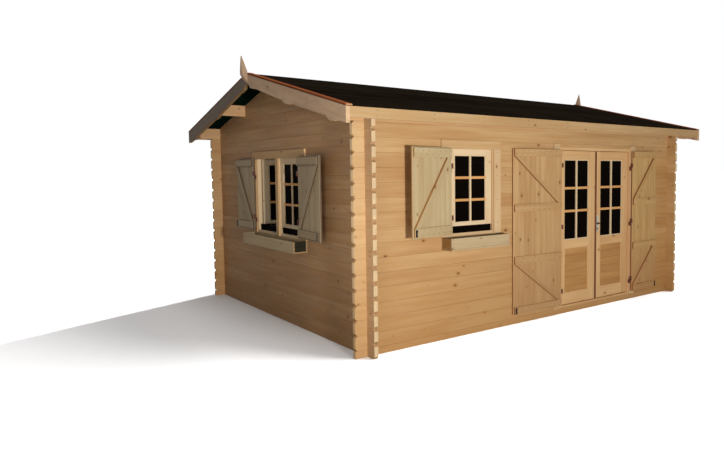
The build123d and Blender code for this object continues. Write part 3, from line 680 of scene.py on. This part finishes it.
def run_tree(tree, keys, mesh, **values):
    """What a tree makes of a mesh with these values, as a plain mesh."""
    host = bpy.data.objects.new("host", mesh)
    scene.collection.objects.link(host)
    modifier = host.modifiers.new("tree", "NODES")
    modifier.node_group = tree
    for title, value in values.items():
        modifier[keys[title]] = value
    bpy.context.view_layer.update()
    made = bpy.data.meshes.new_from_object(host.evaluated_get(bpy.context.evaluated_depsgraph_get()))
    bpy.data.objects.remove(host)
    return made


print("tree helpers ready")

# %% A row of boards
row_tree, row_keys, row_in = start_tree("board_row", Length="Float", Width="Float", Thickness="Float",
                                        Count="Int", Pitch="Float", Finish="Material")
plank = Wire.node(row_tree, "GeometryNodeMeshCube", None,
                  {"Size": vector(row_in.out("Width"), row_in.out("Thickness"), row_in.out("Length"))})
row_start = (row_in.out("Count") - 1) * row_in.out("Pitch") * -0.5
row_line = Wire.node(row_tree, "GeometryNodeMeshLine", {"mode": "OFFSET"},
                     {"Count": row_in.out("Count"), "Start Location": vector(row_start, 0.0, 0.0),
                      "Offset": vector(row_in.out("Pitch"), 0.0, 0.0)})
end_tree(row_line, plank, row_in.out("Finish"))


def board_row(finish, length, width, thickness, count, pitch, place):
    """One row of boards along X, each standing along Z, moved to its place as a plain mesh."""
    mesh = run_tree(row_tree, row_keys, bpy.data.meshes.new("row"), Length=length, Width=width,
                    Thickness=thickness, Count=count, Pitch=pitch, Finish=finishes[finish])
    mesh.transform(place)
    return mesh


print("row tree has", len(row_tree.nodes), "nodes")

# %% [markdown]
# ## Nail heads
#
# A nail head is a few millimetres across, but rows of them show how the boards hold. They can't be drawn one
# by one, so a second tree sets a low ten-sided head on every point and turns it by the point's facing
# direction. Points are collected body by body while the boards are laid, and the heads are made at the end.

# %% Nail heads
head_tree, head_keys, head_in = start_tree("nail_heads", Points="Geometry", Radius="Float", Height="Float",
                                           Finish="Material")
head = Wire.node(head_tree, "GeometryNodeMeshCone", None,
                 {"Vertices": 10, "Radius Top": head_in.out("Radius") * 0.7,
                  "Radius Bottom": head_in.out("Radius"), "Depth": head_in.out("Height")})
facing = Wire.node(head_tree, "GeometryNodeInputNamedAttribute", {"data_type": "FLOAT_VECTOR"},
                   {"Name": "facing"})
head_turn = Wire.node(head_tree, "FunctionNodeAlignRotationToVector", {"axis": "Z"}, {"Vector": facing})
end_tree(head_in, head, head_in.out("Finish"), Rotation=head_turn)
nail_spots = {}


def nail(body, place, way):
    """Remembers one nail on a body, with the direction that its head faces."""
    nail_spots.setdefault(body, []).append((Vector(place), Vector(way)))


def make_heads(name, body, spots, radius, height, finish):
    """One piece with a head on every spot of a body."""
    mesh = bpy.data.meshes.new(name)
    mesh.from_pydata([place for place, _ in spots], [], [])
    ways = mesh.attributes.new("facing", "FLOAT_VECTOR", "POINT")
    ways.data.foreach_set("vector", [c for _, way in spots for c in way])
    shape = bmesh.new()
    shape.from_mesh(run_tree(head_tree, head_keys, mesh, Radius=radius, Height=height,
                             Finish=finishes[finish]))
    place_piece(name, shape, finish, body, "black_iron")


print("nail tree has", len(head_tree.nodes), "nodes")

# %% [markdown]
# ## Shutters
#
# Each shutter is a sheet of upright boards nailed to battens, with a brace that carries its weight to the
# hinge. The node's sheet is one solid, so a row of boards takes its place, in the sheet's own directions
# because the shutters stand a little off the wall. Battens and braces keep their solids. Sawn edges are dark
# from a dip, and on the gable's shutters darker still as painted shade. A narrow dark margin beside the
# braces, and under the gable's battens, is painted shade.

# %% The sheet of a shutter
Sheet = namedtuple("Sheet", "across through middle width thickness height")
hinge_of = {joint["child"]: Vector(joint["pos_m"]) for joint in behaviour["joints"]}
bolt_spots = []
bolt_reach, lowest_batten = 0.03, 0.15
nail_shares, nail_stagger = (-0.22, 0.22), 0.05


def middle_of(points):
    return Vector((points.min(0) + points.max(0)) / 2)


def sheet_frame(points):
    """Directions, middle and sizes of an upright sheet, from the corners of its foot."""
    foot = [Vector(p) for p in points if p[2] < points[:, 2].min() + 1e-4]
    far = max(foot, key=lambda p: (p - foot[0]).length)
    sides = sorted((p - foot[0] for p in foot if p is not foot[0] and p is not far), key=lambda p: p.length)
    return Sheet(sides[-1].normalized(), sides[0].normalized(), middle_of(points), sides[-1].length,
                 sides[0].length, points[:, 2].max() - points[:, 2].min())


def stand(across, inward, origin):
    """The place of upright work: its directions across and inward, and where it starts."""
    return Matrix.Translation(origin) @ Matrix((across, inward, up)).transposed().to_4x4()


def fix_batten(body, points, sheet, count, out):
    """Nails a batten to every board, and finds the bolt's place on the lowest one."""
    centre = middle_of(points)
    face = max(Vector(p).dot(out) for p in points) - centre.dot(out)
    for number in range(count):
        off = (number + 0.5) * sheet.width / count - sheet.width / 2
        off += (sheet.middle - centre).dot(sheet.across)
        for share in nail_shares:
            nail(body, centre + sheet.across * (off + share * nail_stagger) + out * face
                 + up * (share * np.ptp(points[:, 2])), out)
    if centre.z < sheet.middle.z - sheet.height / 2 + lowest_batten:
        free = sheet.across if (sheet.middle - hinge_of[body]).dot(sheet.across) > 0 else -sheet.across
        corner = sheet.middle + free * (sheet.width / 2 - bolt_reach)
        rise = up * (centre.z - sheet.middle.z)
        bolt_spots.append((body, corner + out * ((centre - sheet.middle).dot(out) + face) + rise, free, out))


print(len(hinge_of), "hinged bodies")

# %% Shutters
board_width, board_gap, board_round = 0.084, 0.0008, 0.0024


def paint_shade_margin(shape, piece, out, width, towards):
    """Marks a narrow margin of painted shade on a batten's or brace's face, along the side that lies towards
    a direction.
    """
    margin = shape.faces.layers.float.get("margin") or shape.faces.layers.float.new("margin")
    fronts = [face for face in {f for v in piece for f in v.link_faces} if face.normal.dot(out) > 0.95]
    front = max(fronts, key=lambda face: face.calc_area())
    middle = front.calc_center_median()
    rims = bmesh.ops.inset_region(shape, faces=[front], thickness=width, use_even_offset=True)["faces"]
    for rim in rims:
        if (rim.calc_center_median() - middle).normalized().dot(towards) > 0.3:
            rim[margin] = 1.0


def dress_shutter(node, finish, near_side, long_edges, brace_margin, batten_margin):
    """Boards, battens and braces of one shutter, as one piece on its body."""
    shape = tidy_copy(node)
    pieces = islands(shape)
    sizes = [np.ptp(points_of(piece), axis=0) for piece in pieces]
    boards = pieces.pop(int(np.argmax([(x + y) * z for x, y, z in sizes])))
    sheet = sheet_frame(points_of(boards))
    count = round(sheet.width / board_width)
    pitch = sheet.width / count
    for piece in pieces:
        points = points_of(piece)
        length, tall, _ = directions(points)
        out = sheet.through
        if (middle_of(points) - sheet.middle).dot(out) <= 0:
            out = -out
        if abs(length.dot(sheet.across)) < 0.99:
            paint_shade_margin(shape, piece, out, brace_margin, tall if tall.dot(near_side) > 0 else -tall)
            continue
        if batten_margin:
            paint_shade_margin(shape, piece, out, batten_margin, -up)
        fix_batten(body_of[node], points, sheet, count, out)
    bmesh.ops.delete(shape, geom=boards, context="VERTS")
    across = sheet.across if sheet.across.cross(sheet.through).dot(up) >= 0 else -sheet.across
    shape.from_mesh(board_row(finish, sheet.height, pitch - board_gap, sheet.thickness, count, pitch,
                              stand(across, sheet.through, sheet.middle)))
    soften(shape, board_round, 1)
    margin = shape.faces.layers.float["margin"]

    def edge_darkness(face):
        """How dark a face is: margins of painted shade and sawn edges most, joints between boards less."""
        off = face.calc_center_median() - sheet.middle
        if face[margin] > 0.5:
            return 0.95
        if abs(face.normal.dot(sheet.through)) > 0.6:
            return 0.0
        if abs(off.dot(sheet.through)) > sheet.thickness / 2:
            return long_edges if abs(face.normal.z) > 0.9 else 0.95
        return 0.85 if abs(off.dot(across)) > sheet.width / 2 - 0.003 else 0.3

    give_grain(shape, None, edge_darkness)
    place_for(node, "_boards", shape, finish, node)
    print(node, count, "boards of", round(pitch * 1000), "mm")


# Near side, how dark top and bottom edges are, and widths of the painted-shade margins beside braces and
# under battens.
front_dip_and_shade, gable_dip_and_shade = (-east, 0.25, 0.006, 0.0), (-north, 0.9, 0.011, 0.01)
for node, finish, dip_and_shade in (
        ("left_door_shutter", "shutter", front_dip_and_shade), ("right_door_shutter", "green_shutter", front_dip_and_shade),
        ("front_window_shutter", "window_shutter", front_dip_and_shade),
        ("gable_left_shutter", "gable_shutter", gable_dip_and_shade),
        ("gable_right_shutter", "gable_shutter", gable_dip_and_shade)):
    dress_shutter(node, finish, *dip_and_shade)

# %% [markdown]
# ## Door leaves and sashes
#
# A joiner makes a leaf of stiles and rails, so grain runs up the stiles and along the rails. The solids are
# whole frames, so each leaf and sash is laid out again from its box in separate boards that meet at tight
# joints. Horizontal boards fill the leaf's lower panel inside a small bead, and bars divide the glass.

# %% Joinery
joint_step, joinery_round = 0.0006, 0.0018
bar_thickness, glazing_bead, pane_half = 0.03, 0.011, 0.0025


def block(shape, place, middle, size):
    """Adds a plain block to a mesh."""
    bmesh.ops.create_cube(shape, size=1.0,
                          matrix=place @ Matrix.Translation(middle) @ Matrix.Diagonal((*size, 1)))


class Joinery:
    """Boards laid out as across, inward and up, at a place in the cabin."""

    def __init__(self, place=None):
        self.place = place
        self.shape = bmesh.new()

    def board(self, x0, x1, y0, y1, z0, z1):
        middle = ((x0 + x1) / 2, (y0 + y1) / 2, (z0 + z1) / 2)
        block(self.shape, self.place, middle, (x1 - x0, y1 - y0, z1 - z0))

    def row(self, finish, length, width, thickness, count, pitch, middle, flat):
        turned = Matrix.Rotation(math.radians(90), 4, "Y") if flat else Matrix.Identity(4)
        self.shape.from_mesh(board_row(finish, length, width, thickness, count, pitch,
                                       self.place @ Matrix.Translation(middle) @ turned))

    def frame(self, width, height, depth, stile, top, bottom):
        """Two stiles with the rails between them."""
        for x in (0, width - stile):
            self.board(x, x + stile, 0, depth, 0, height)
        for z0, z1 in ((height - top, height), (0, bottom)):
            self.board(stile, width - stile, joint_step, depth - joint_step, z0, z1)

    def bars(self, cross_work, x0, x1, z0, z1, depth, shares, upright, cross):
        """Beads round a pane, one upright bar, and cross bars in other work at shares of the height."""
        middle = ((x0 + x1) / 2, depth, (z0 + z1) / 2)
        self.row("sash", z1 - z0, upright, bar_thickness, 1, 1.0, middle, False)
        proud = bar_thickness * 0.42
        for y0, y1 in ((depth - proud, depth - pane_half), (depth + pane_half, depth + proud)):
            for x in (x0, x1 - glazing_bead):
                self.board(x, x + glazing_bead, y0, y1, z0, z1)
            for z in (z0, z1 - glazing_bead):
                self.board(x0 + glazing_bead, x1 - glazing_bead, y0, y1, z, z + glazing_bead)
        for share in shares:
            z = z0 + share * (z1 - z0)
            for a, b in ((x0, (x0 + x1 - upright) / 2), ((x0 + x1 + upright) / 2, x1)):
                middle = ((a + b) / 2, depth, z)
                cross_work.row("bar", b - a, cross, bar_thickness * 0.9, 1, 1.0, middle, True)

    def finish(self, node, ending, finish, *replaced):
        """Softens the boards, gives them their grain and places them for a node."""
        place_for(node, ending, give_grain(soften(self.shape, joinery_round)), finish, *replaced)


print("joints step back by", joint_step * 1000, "mm")


# %% Door leaves
def dress_leaf(node):
    """One door leaf: frame, lower panel of flat boards with a bead, and the bars of its pane."""
    low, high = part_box(node)
    width, depth, height = high - low
    work, panel, bars, uprights = (Joinery(stand(east, north, low)) for _ in range(4))
    stile, top, bottom, rail_low, rail_high = 0.105, 0.1, 0.12, 0.665, 0.751
    work.frame(width, height, depth, stile, top, bottom)
    work.board(stile, width - stile, joint_step, depth - joint_step, rail_low, rail_high)
    count, panel_half, bead, lip = 6, 0.008, 0.016, 0.008
    pitch = (rail_low - bottom) / count
    panel.row("panel", width - 2 * stile, pitch - board_gap, 0.0158, count, pitch,
              (width / 2, depth / 2, (bottom + rail_low) / 2), True)
    for y in (depth / 2 - panel_half - lip, depth / 2 + panel_half):
        for z in (bottom, rail_low - bead):
            work.board(stile, width - stile, y, y + lip, z, z + bead)
        for x in (stile, width - stile - bead):
            work.board(x, x + bead, y, y + lip, bottom + bead, rail_low - bead)
    uprights.bars(bars, stile, width - stile, rail_high, height - top, depth / 2, (0.36, 0.645), 0.026, 0.028)
    bars.finish(node, "_bars", "bar")
    uprights.finish(node, "_beads", "sash")
    work.finish(node, "_joinery", "door", node)
    panel.finish(node, "_panel", "panel")


for node in ("left_door_leaf", "right_door_leaf"):
    dress_leaf(node)
leaf_low, leaf_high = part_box("right_door_leaf")
clearance = 0.0003
strip = Joinery(stand(east, north, leaf_low))
strip.board(0.001, 0.027, -0.007, -clearance, 0.004, leaf_high.z - leaf_low.z - 0.004)
place_piece("meeting_strip", give_grain(soften(strip.shape, slight)), "meeting", body_of["right_door_leaf"],
            slot_of["right_door_leaf"])
print("leaves", round(leaf_high.z - leaf_low.z, 3), "m high laid out")


# %% Sashes
def dress_sash(node, outside):
    """Every sash of a node, wherever it is turned, with the bars of its panes."""
    solid = tidy_copy(node)
    work, bars = Joinery(), Joinery()
    stile, top, bottom = 0.07, 0.058, 0.03
    for piece in islands(solid):
        across, inward, middle, width, depth, height = sheet_frame(points_of(piece))
        if inward.dot(outside) > 0:
            inward = -inward
        if across.cross(inward).dot(up) < 0:
            across = -across
        corner = middle - across * width / 2 - inward * depth / 2 - up * height / 2
        work.place = bars.place = stand(across, inward, corner)
        work.frame(width, height, depth, stile, top, bottom)
        work.bars(bars, stile, width - stile, bottom, height - top, depth / 2, (0.335, 0.665), 0.022, 0.026)
    solid.free()
    work.finish(node, "_joinery", "sash", node)
    bars.finish(node, "_bars", "bar")
    print(node, "laid out")


dress_sash("front_window_sash", -north)
dress_sash("gable_window_sashes", -east)

# %% [markdown]
# ## Handle
#
# The right leaf carries a lever on a long plate, inside and out. The solid lever has flat sides, so a turned
# one takes its place: a plate with rounded ends, a neck, a lever that bends towards the hinges, and a lock
# cylinder.


# %% Round bars
def tube(shape, path, radii, count=20):
    """A round bar through points that bend in a level plane, or upright, closed at both ends."""
    angles = [2 * math.pi * i / count for i in range(count)]
    rings = []
    for index, point in enumerate(path):
        way = (path[min(index + 1, len(path) - 1)] - path[max(index - 1, 0)]).normalized()
        side = way.cross(up if abs(way.z) < 0.9 else east).normalized()
        rise = way.cross(side)
        rings.append([shape.verts.new(point + (side * math.cos(a) + rise * math.sin(a)) * radii[index])
                      for a in angles])
    for one, two in zip(rings, rings[1:]):
        for i in range(count):
            shape.faces.new((one[i], one[(i + 1) % count], two[(i + 1) % count], two[i]))
    shape.faces.new(rings[0])
    shape.faces.new(rings[-1])


print("round bars have 20 sides, small ones 12")

# %% Handle
low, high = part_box("door_handle")
plate_width, plate_thickness, plate_height = 0.036, 0.005, high.z - low.z
plate_x, lever_z, lock_drop = low.x + plate_width / 2, (low.z + high.z) / 2, 0.065
rose_radius, lock_radius, rose_top, rose_edge = 0.0145, 0.0095, 0.008, 0.0007


def lever(shape, face, out):
    """A lever on its rose, and the lock's cylinder below, standing out from one face of the leaf."""
    def at(off, reach=0.0, drop=0.0):
        return Vector((plate_x + reach, face + out * off, lever_z - drop))

    bend = [at(0.014 + 0.01 * math.sin(a), 0.01 * (1 - math.cos(a)))
            for a in (math.radians(d) for d in (22, 45, 68, 90))]
    arm = [at(0.024, reach) for reach in (0.014, 0.02, 0.026, 0.029)]
    tube(shape, [at(0.004), at(0.014)] + bend + arm, [0.007] * 2 + [0.0068] * 5 + [0.0062, 0.006, 0.005])
    for drop, foot, radius in ((0.0, 0.004, rose_radius), (lock_drop, 0.002, lock_radius)):
        tube(shape, [at(off, 0.0, drop) for off in (foot, rose_top - 0.0005, rose_top)],
             [radius, radius, radius - rose_edge])


leaf_faces = ((leaf_low.y - clearance, -1), (leaf_high.y + clearance, 1))
plates, levers = bmesh.new(), bmesh.new()
for face, out in leaf_faces:
    block(plates, Matrix.Identity(4), (plate_x, face + out * plate_thickness / 2, lever_z),
          (plate_width, plate_thickness, plate_height))
    lever(levers, face, out)
corner_edges = [e for e in plates.edges if abs((e.verts[0].co - e.verts[1].co).normalized().y) > 0.9]
bmesh.ops.bevel(plates, geom=corner_edges, offset=0.017, segments=8, profile=0.5, affect="EDGES")
soften(plates, 0.0012)
place_piece("handle_plates", plates, "handle", body_of["door_handle"], "handle_metal", "door_handle")
place_piece("handle_rings", levers, "keyway", body_of["door_handle"], "handle_metal")
print("handle on", body_of["door_handle"])

# %% [markdown]
# ## Shutter bolts
#
# A small iron bolt at each shutter's lower free corner holds it shut. It could be one block at this size, but
# a thin plate, a round bar, two staples and a knob cost few faces and look right from near by.

# %% Shutter bolts
bolt_plate, staple = (0.026, 0.0016, 0.066), (0.018, 0.0085, 0.007)
staple_off, staple_rise, bar_off = 0.0045, 0.022, 0.0048
for body, spot, free, out in bolt_spots:
    bolt = bmesh.new()
    for middle, size in (((0, 0.0009, 0), bolt_plate), ((0, staple_off, staple_rise), staple),
                         ((0, staple_off, -staple_rise), staple)):
        block(bolt, stand(free, out, spot), middle, size)
    soften(bolt, 0.0006, 1)
    core = spot + out * bar_off
    bar = [core + up * rise for rise in (-0.036, -0.034, 0.03, 0.032)]
    tube(bolt, bar, [0.0024, 0.003, 0.003, 0.0024], 12)
    knob = [core + free * reach for reach in (0.0, 0.009, 0.013, 0.014)]
    tube(bolt, knob, [0.002, 0.002, 0.003, 0.0022], 12)
    place_piece(body + "_bolt", bolt, "bolt", body, "black_iron")
print(len(bolt_spots), "shutter bolts")

# %% [markdown]
# ## Felt sheets
#
# Felt is laid from the eaves up, each sheet lapping the one below, with a strip over the ridge. A bump could
# hint at the laps, but real edges throw a thin shadow. The node is one smooth layer, so thin sheets lie on
# it, each of a slightly different shade, with a pressed seam at each lap.

# %% Felt sheets
felt_top, sheet_end, sheet_thickness, lift = 0.0231, 2.632, 0.002, 0.0024
courses = [(2.128, 1.36, 0.0), (1.45, 0.66, lift), (0.75, 0.1, lift)]
ridge_edge, ridge_lift = 0.24, 0.003
seam_insets, seam_thickness, seam_sink = (0.003, 0.021), 0.0005, 0.0002
plate_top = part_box("eave_plates")[1]


def roof_height(y):
    """The roof boards' underside at a distance from the ridge, from the eave plates' top corner."""
    return plate_top.z + (plate_top.y - abs(y)) * math.tan(slope)


def felt_line(y, rise):
    """Two ends of a line across the roof at a distance from the ridge, raised above the felt."""
    return [Vector((end, y, roof_height(y) + felt_top + rise)) for end in (-sheet_end, sheet_end)]


def felt_strip(shape, lines, thickness, shade):
    """A flat strip between two lines across the roof, with a shade of its own."""
    tint = shape.verts.layers.float.get("tint") or shape.verts.layers.float.new("tint")
    under = lines[0] + lines[1][::-1]
    levels = [[shape.verts.new(p + up * rise) for p in under] for rise in (0.0, thickness)]
    for level in levels:
        shape.faces.new(level)
        for vert in level:
            vert[tint] = shade
    for i in range(4):
        shape.faces.new((levels[0][i], levels[0][(i + 1) % 4], levels[1][(i + 1) % 4], levels[1][i]))


felt, seams = bmesh.new(), bmesh.new()
for side in (-1, 1):
    for outer, inner, raised in courses:
        felt_strip(felt, [felt_line(side * outer, raised), felt_line(side * inner, 0.0)], sheet_thickness,
                   dice.random())
    for y in (courses[1][0], courses[2][0], ridge_edge):
        seam = [felt_line(side * (y - inset), lift + sheet_thickness - seam_sink) for inset in seam_insets]
        felt_strip(seams, seam, seam_thickness, 0.5)
ridge = [felt_line(y, rise) for y, rise in ((-ridge_edge, lift), (0.0, ridge_lift), (ridge_edge, lift))]
ridge_verts = [[felt.verts.new(p + up * rise) for line in ridge for p in line]
               for rise in (0.0, sheet_thickness)]
for level in ridge_verts:
    felt.faces.new((level[0], level[1], level[3], level[2]))
    felt.faces.new((level[2], level[3], level[5], level[4]))
for a, b in ((0, 1), (1, 3), (3, 5), (5, 4), (4, 2), (2, 0)):
    felt.faces.new((ridge_verts[0][a], ridge_verts[0][b], ridge_verts[1][b], ridge_verts[1][a]))
place_piece("felt_sheets", felt, "felt", "cabin", "roof_felt")
place_piece("felt_seams", seams, "seam", "cabin", "roof_felt")
print(2 * len(courses), "felt sheets and a ridge strip")

# %% [markdown]
# ## Nails in the roof and trim
#
# Felt is held by rows of clouts, fascias and bargeboards by pairs of nails, architraves by nails down their
# middle and window boxes near their ends. The places could be typed, but the boards slope and step, so a line
# is cast at each board and the nail sits where it strikes.

# %% Clouts in the felt
clout_rows, clout_count, clout_start, clout_pitch = (2.09, 1.41, 0.71, 0.2), 34, 0.06, 0.155
clouts = []
for side in (-1, 1):
    felt_way = Vector((0, side * math.sin(slope), math.cos(slope)))
    for y in clout_rows:
        first = felt_line(side * y, sheet_thickness + (lift if y < courses[1][0] else 0.0))[0]
        for step in range(clout_count):
            clouts.append((first + east * (clout_start + clout_pitch * step), felt_way))
print(len(clouts), "clouts in", 2 * len(clout_rows), "rows")

# %% Nails in the trim
far = 3.0


def steps(start, pitch, count):
    """Even places from a start."""
    return [start + pitch * number for number in range(count)]


def both_sides(middle, off):
    return middle - off, middle + off


def nail_boards(node, lines):
    """Drives nails where lines meet a node's boards."""
    shape = tidy_copy(node)
    boards = BVHTree.FromBMesh(shape)
    for start, way in lines:
        place, face_way, _, _ = boards.ray_cast(Vector(start), Vector(way))
        if place is not None:
            nail(body_of[node], place, face_way)
    shape.free()


def nail_front(node, xs, zs):
    nail_boards(node, [((x, -far, z), north) for x in xs for z in zs])


def nail_gable(node, ys, zs):
    nail_boards(node, [((-far, y, z), east) for y in ys for z in zs])


nail_boards("eave_fascias", [((x, side * far, z), (0, -side, 0)) for x in steps(-2.4, 0.6, 9)
                             for side in (-1, 1) for z in (2.118, 2.162)])
verge_places = (-1.9, -1.42, -0.94, -0.47, 0.47, 0.94, 1.42, 1.9)
nail_boards("bargeboards", [((end * far, y, roof_height(y) - drop), (-end, 0, 0)) for y in verge_places
                            for end in (-1, 1) for drop in (0.02, 0.075)])
nail_front("architraves", both_sides(window_middle.x, 0.3395), steps(1.12, 0.24, 4))
nail_front("architraves", both_sides(door_middle.x, 0.716), steps(0.2, 0.34, 6))
nail_gable("architraves", both_sides(gable_middle.y, 0.6555), steps(1.06, 0.24, 4))
nail_front("front_window_box", both_sides(window_middle.x, 0.36), (0.925, 1.0))
nail_gable("gable_window_box", both_sides(gable_middle.y, 0.67), (0.86, 0.93))
for body, spots in nail_spots.items():
    make_heads(body + "_nails", body, spots, 0.0042, 0.0012, "nail")
make_heads("felt_clouts", "cabin", clouts, 0.006, 0.0014, "clout")

# %% [markdown]
# ## Floor and light
#
# The cabin stands on a plain pale floor. A low lamp in front reaches under the eaves and lets the shutters
# throw a narrow shadow, and a small one lights the near corner. A crisp sun from behind lays the cabin's long
# shadow, a wide sun for the floor alone softens it, and a weak one stands above. The floor and the sky show
# white to the camera and light the timber less, so the shaded gable stays brown.

# %% Floor
reach = 400
floor_mesh = bpy.data.meshes.new("floor")
floor_mesh.from_pydata([(-reach, -reach, 0), (reach, -reach, 0), (reach, reach, 0), (-reach, reach, 0)], [],
                       [(0, 1, 2, 3)])
floor = bpy.data.objects.new("floor", floor_mesh)
scene.collection.objects.link(floor)
floor_finish, floor_tree, floor_shader = start_finish("pale_floor", roughness=0.9, specular_ior_level=0.0)
seen = Wire.node(floor_tree, "ShaderNodeLightPath", None, None, "Is Camera Ray")
feed(floor_shader, mix(seen, (0.22, 0.21, 0.2, 1), (1, 1, 1, 1)))
floor_mesh.materials.append(floor_finish)
print("floor", 2 * reach, "m wide")

# %% Sky
world = bpy.data.worlds.new("studio")
world.use_nodes = True
scene.world = world
sky = world.node_tree
sky_light = 0.114
path = Wire.node(sky, "ShaderNodeLightPath", None, None, "Is Camera Ray")
shown = path.maths("MAXIMUM", path.maths("MAXIMUM", path, path.out("Is Glossy Ray")),
                   path.out("Is Transmission Ray"))
sky_sockets = sky.nodes["Background"].inputs
sky.links.new((sky_light + shown * (1 - sky_light)).socket, sky_sockets["Strength"])
sky.links.new(mix(shown, (1.0, 0.94, 0.93, 1), (1, 1, 1, 1)).socket, sky_sockets["Color"])
print("sky lights at", sky_light, "of what it shows")


# %% Lamps
def lamp(name, kind, place, target, energy, size, only=None):
    """A lamp aimed at a target, its size in metres or a sun's degrees. It may light one object only."""
    light = bpy.data.lights.new(name, kind)
    light.energy = energy
    if kind == "AREA":
        light.size = size
    else:
        light.angle = math.radians(size)
    holder = bpy.data.objects.new(name, light)
    way = (Vector(target) - Vector(place)).normalized()
    holder.matrix_world = Matrix.Translation(place) @ way.to_track_quat("-Z", "Y").to_matrix().to_4x4()
    scene.collection.objects.link(holder)
    if only:
        lit = bpy.data.collections.new(name + "_lights")
        lit.objects.link(only)
        holder.light_linking.receiver_collection = lit


lamp("front_light", "AREA", (-3.65, -9.2, 1.1), (-0.8, -1.9, 1.3), 465, 0.5)
lamp("corner_light", "AREA", (-3.75, -2.6, 1.2), (-2.45, -1.9, 1.2), 10, 0.8)
lamp("back_sun", "SUN", (9.05, 4.27, 5.8), (0, 0, 0), 4.5, 2)
lamp("floor_sun", "SUN", (7.55, -6.56, 8.4), (0, 0, 0), 3.5, 36, floor)
lamp("top_sun", "SUN", (0, 0, 10.0), (0, 0, 0), 1.0, 30)
scene.view_settings.view_transform = "Standard"
print(len(bpy.data.lights), "lamps over a pale floor")
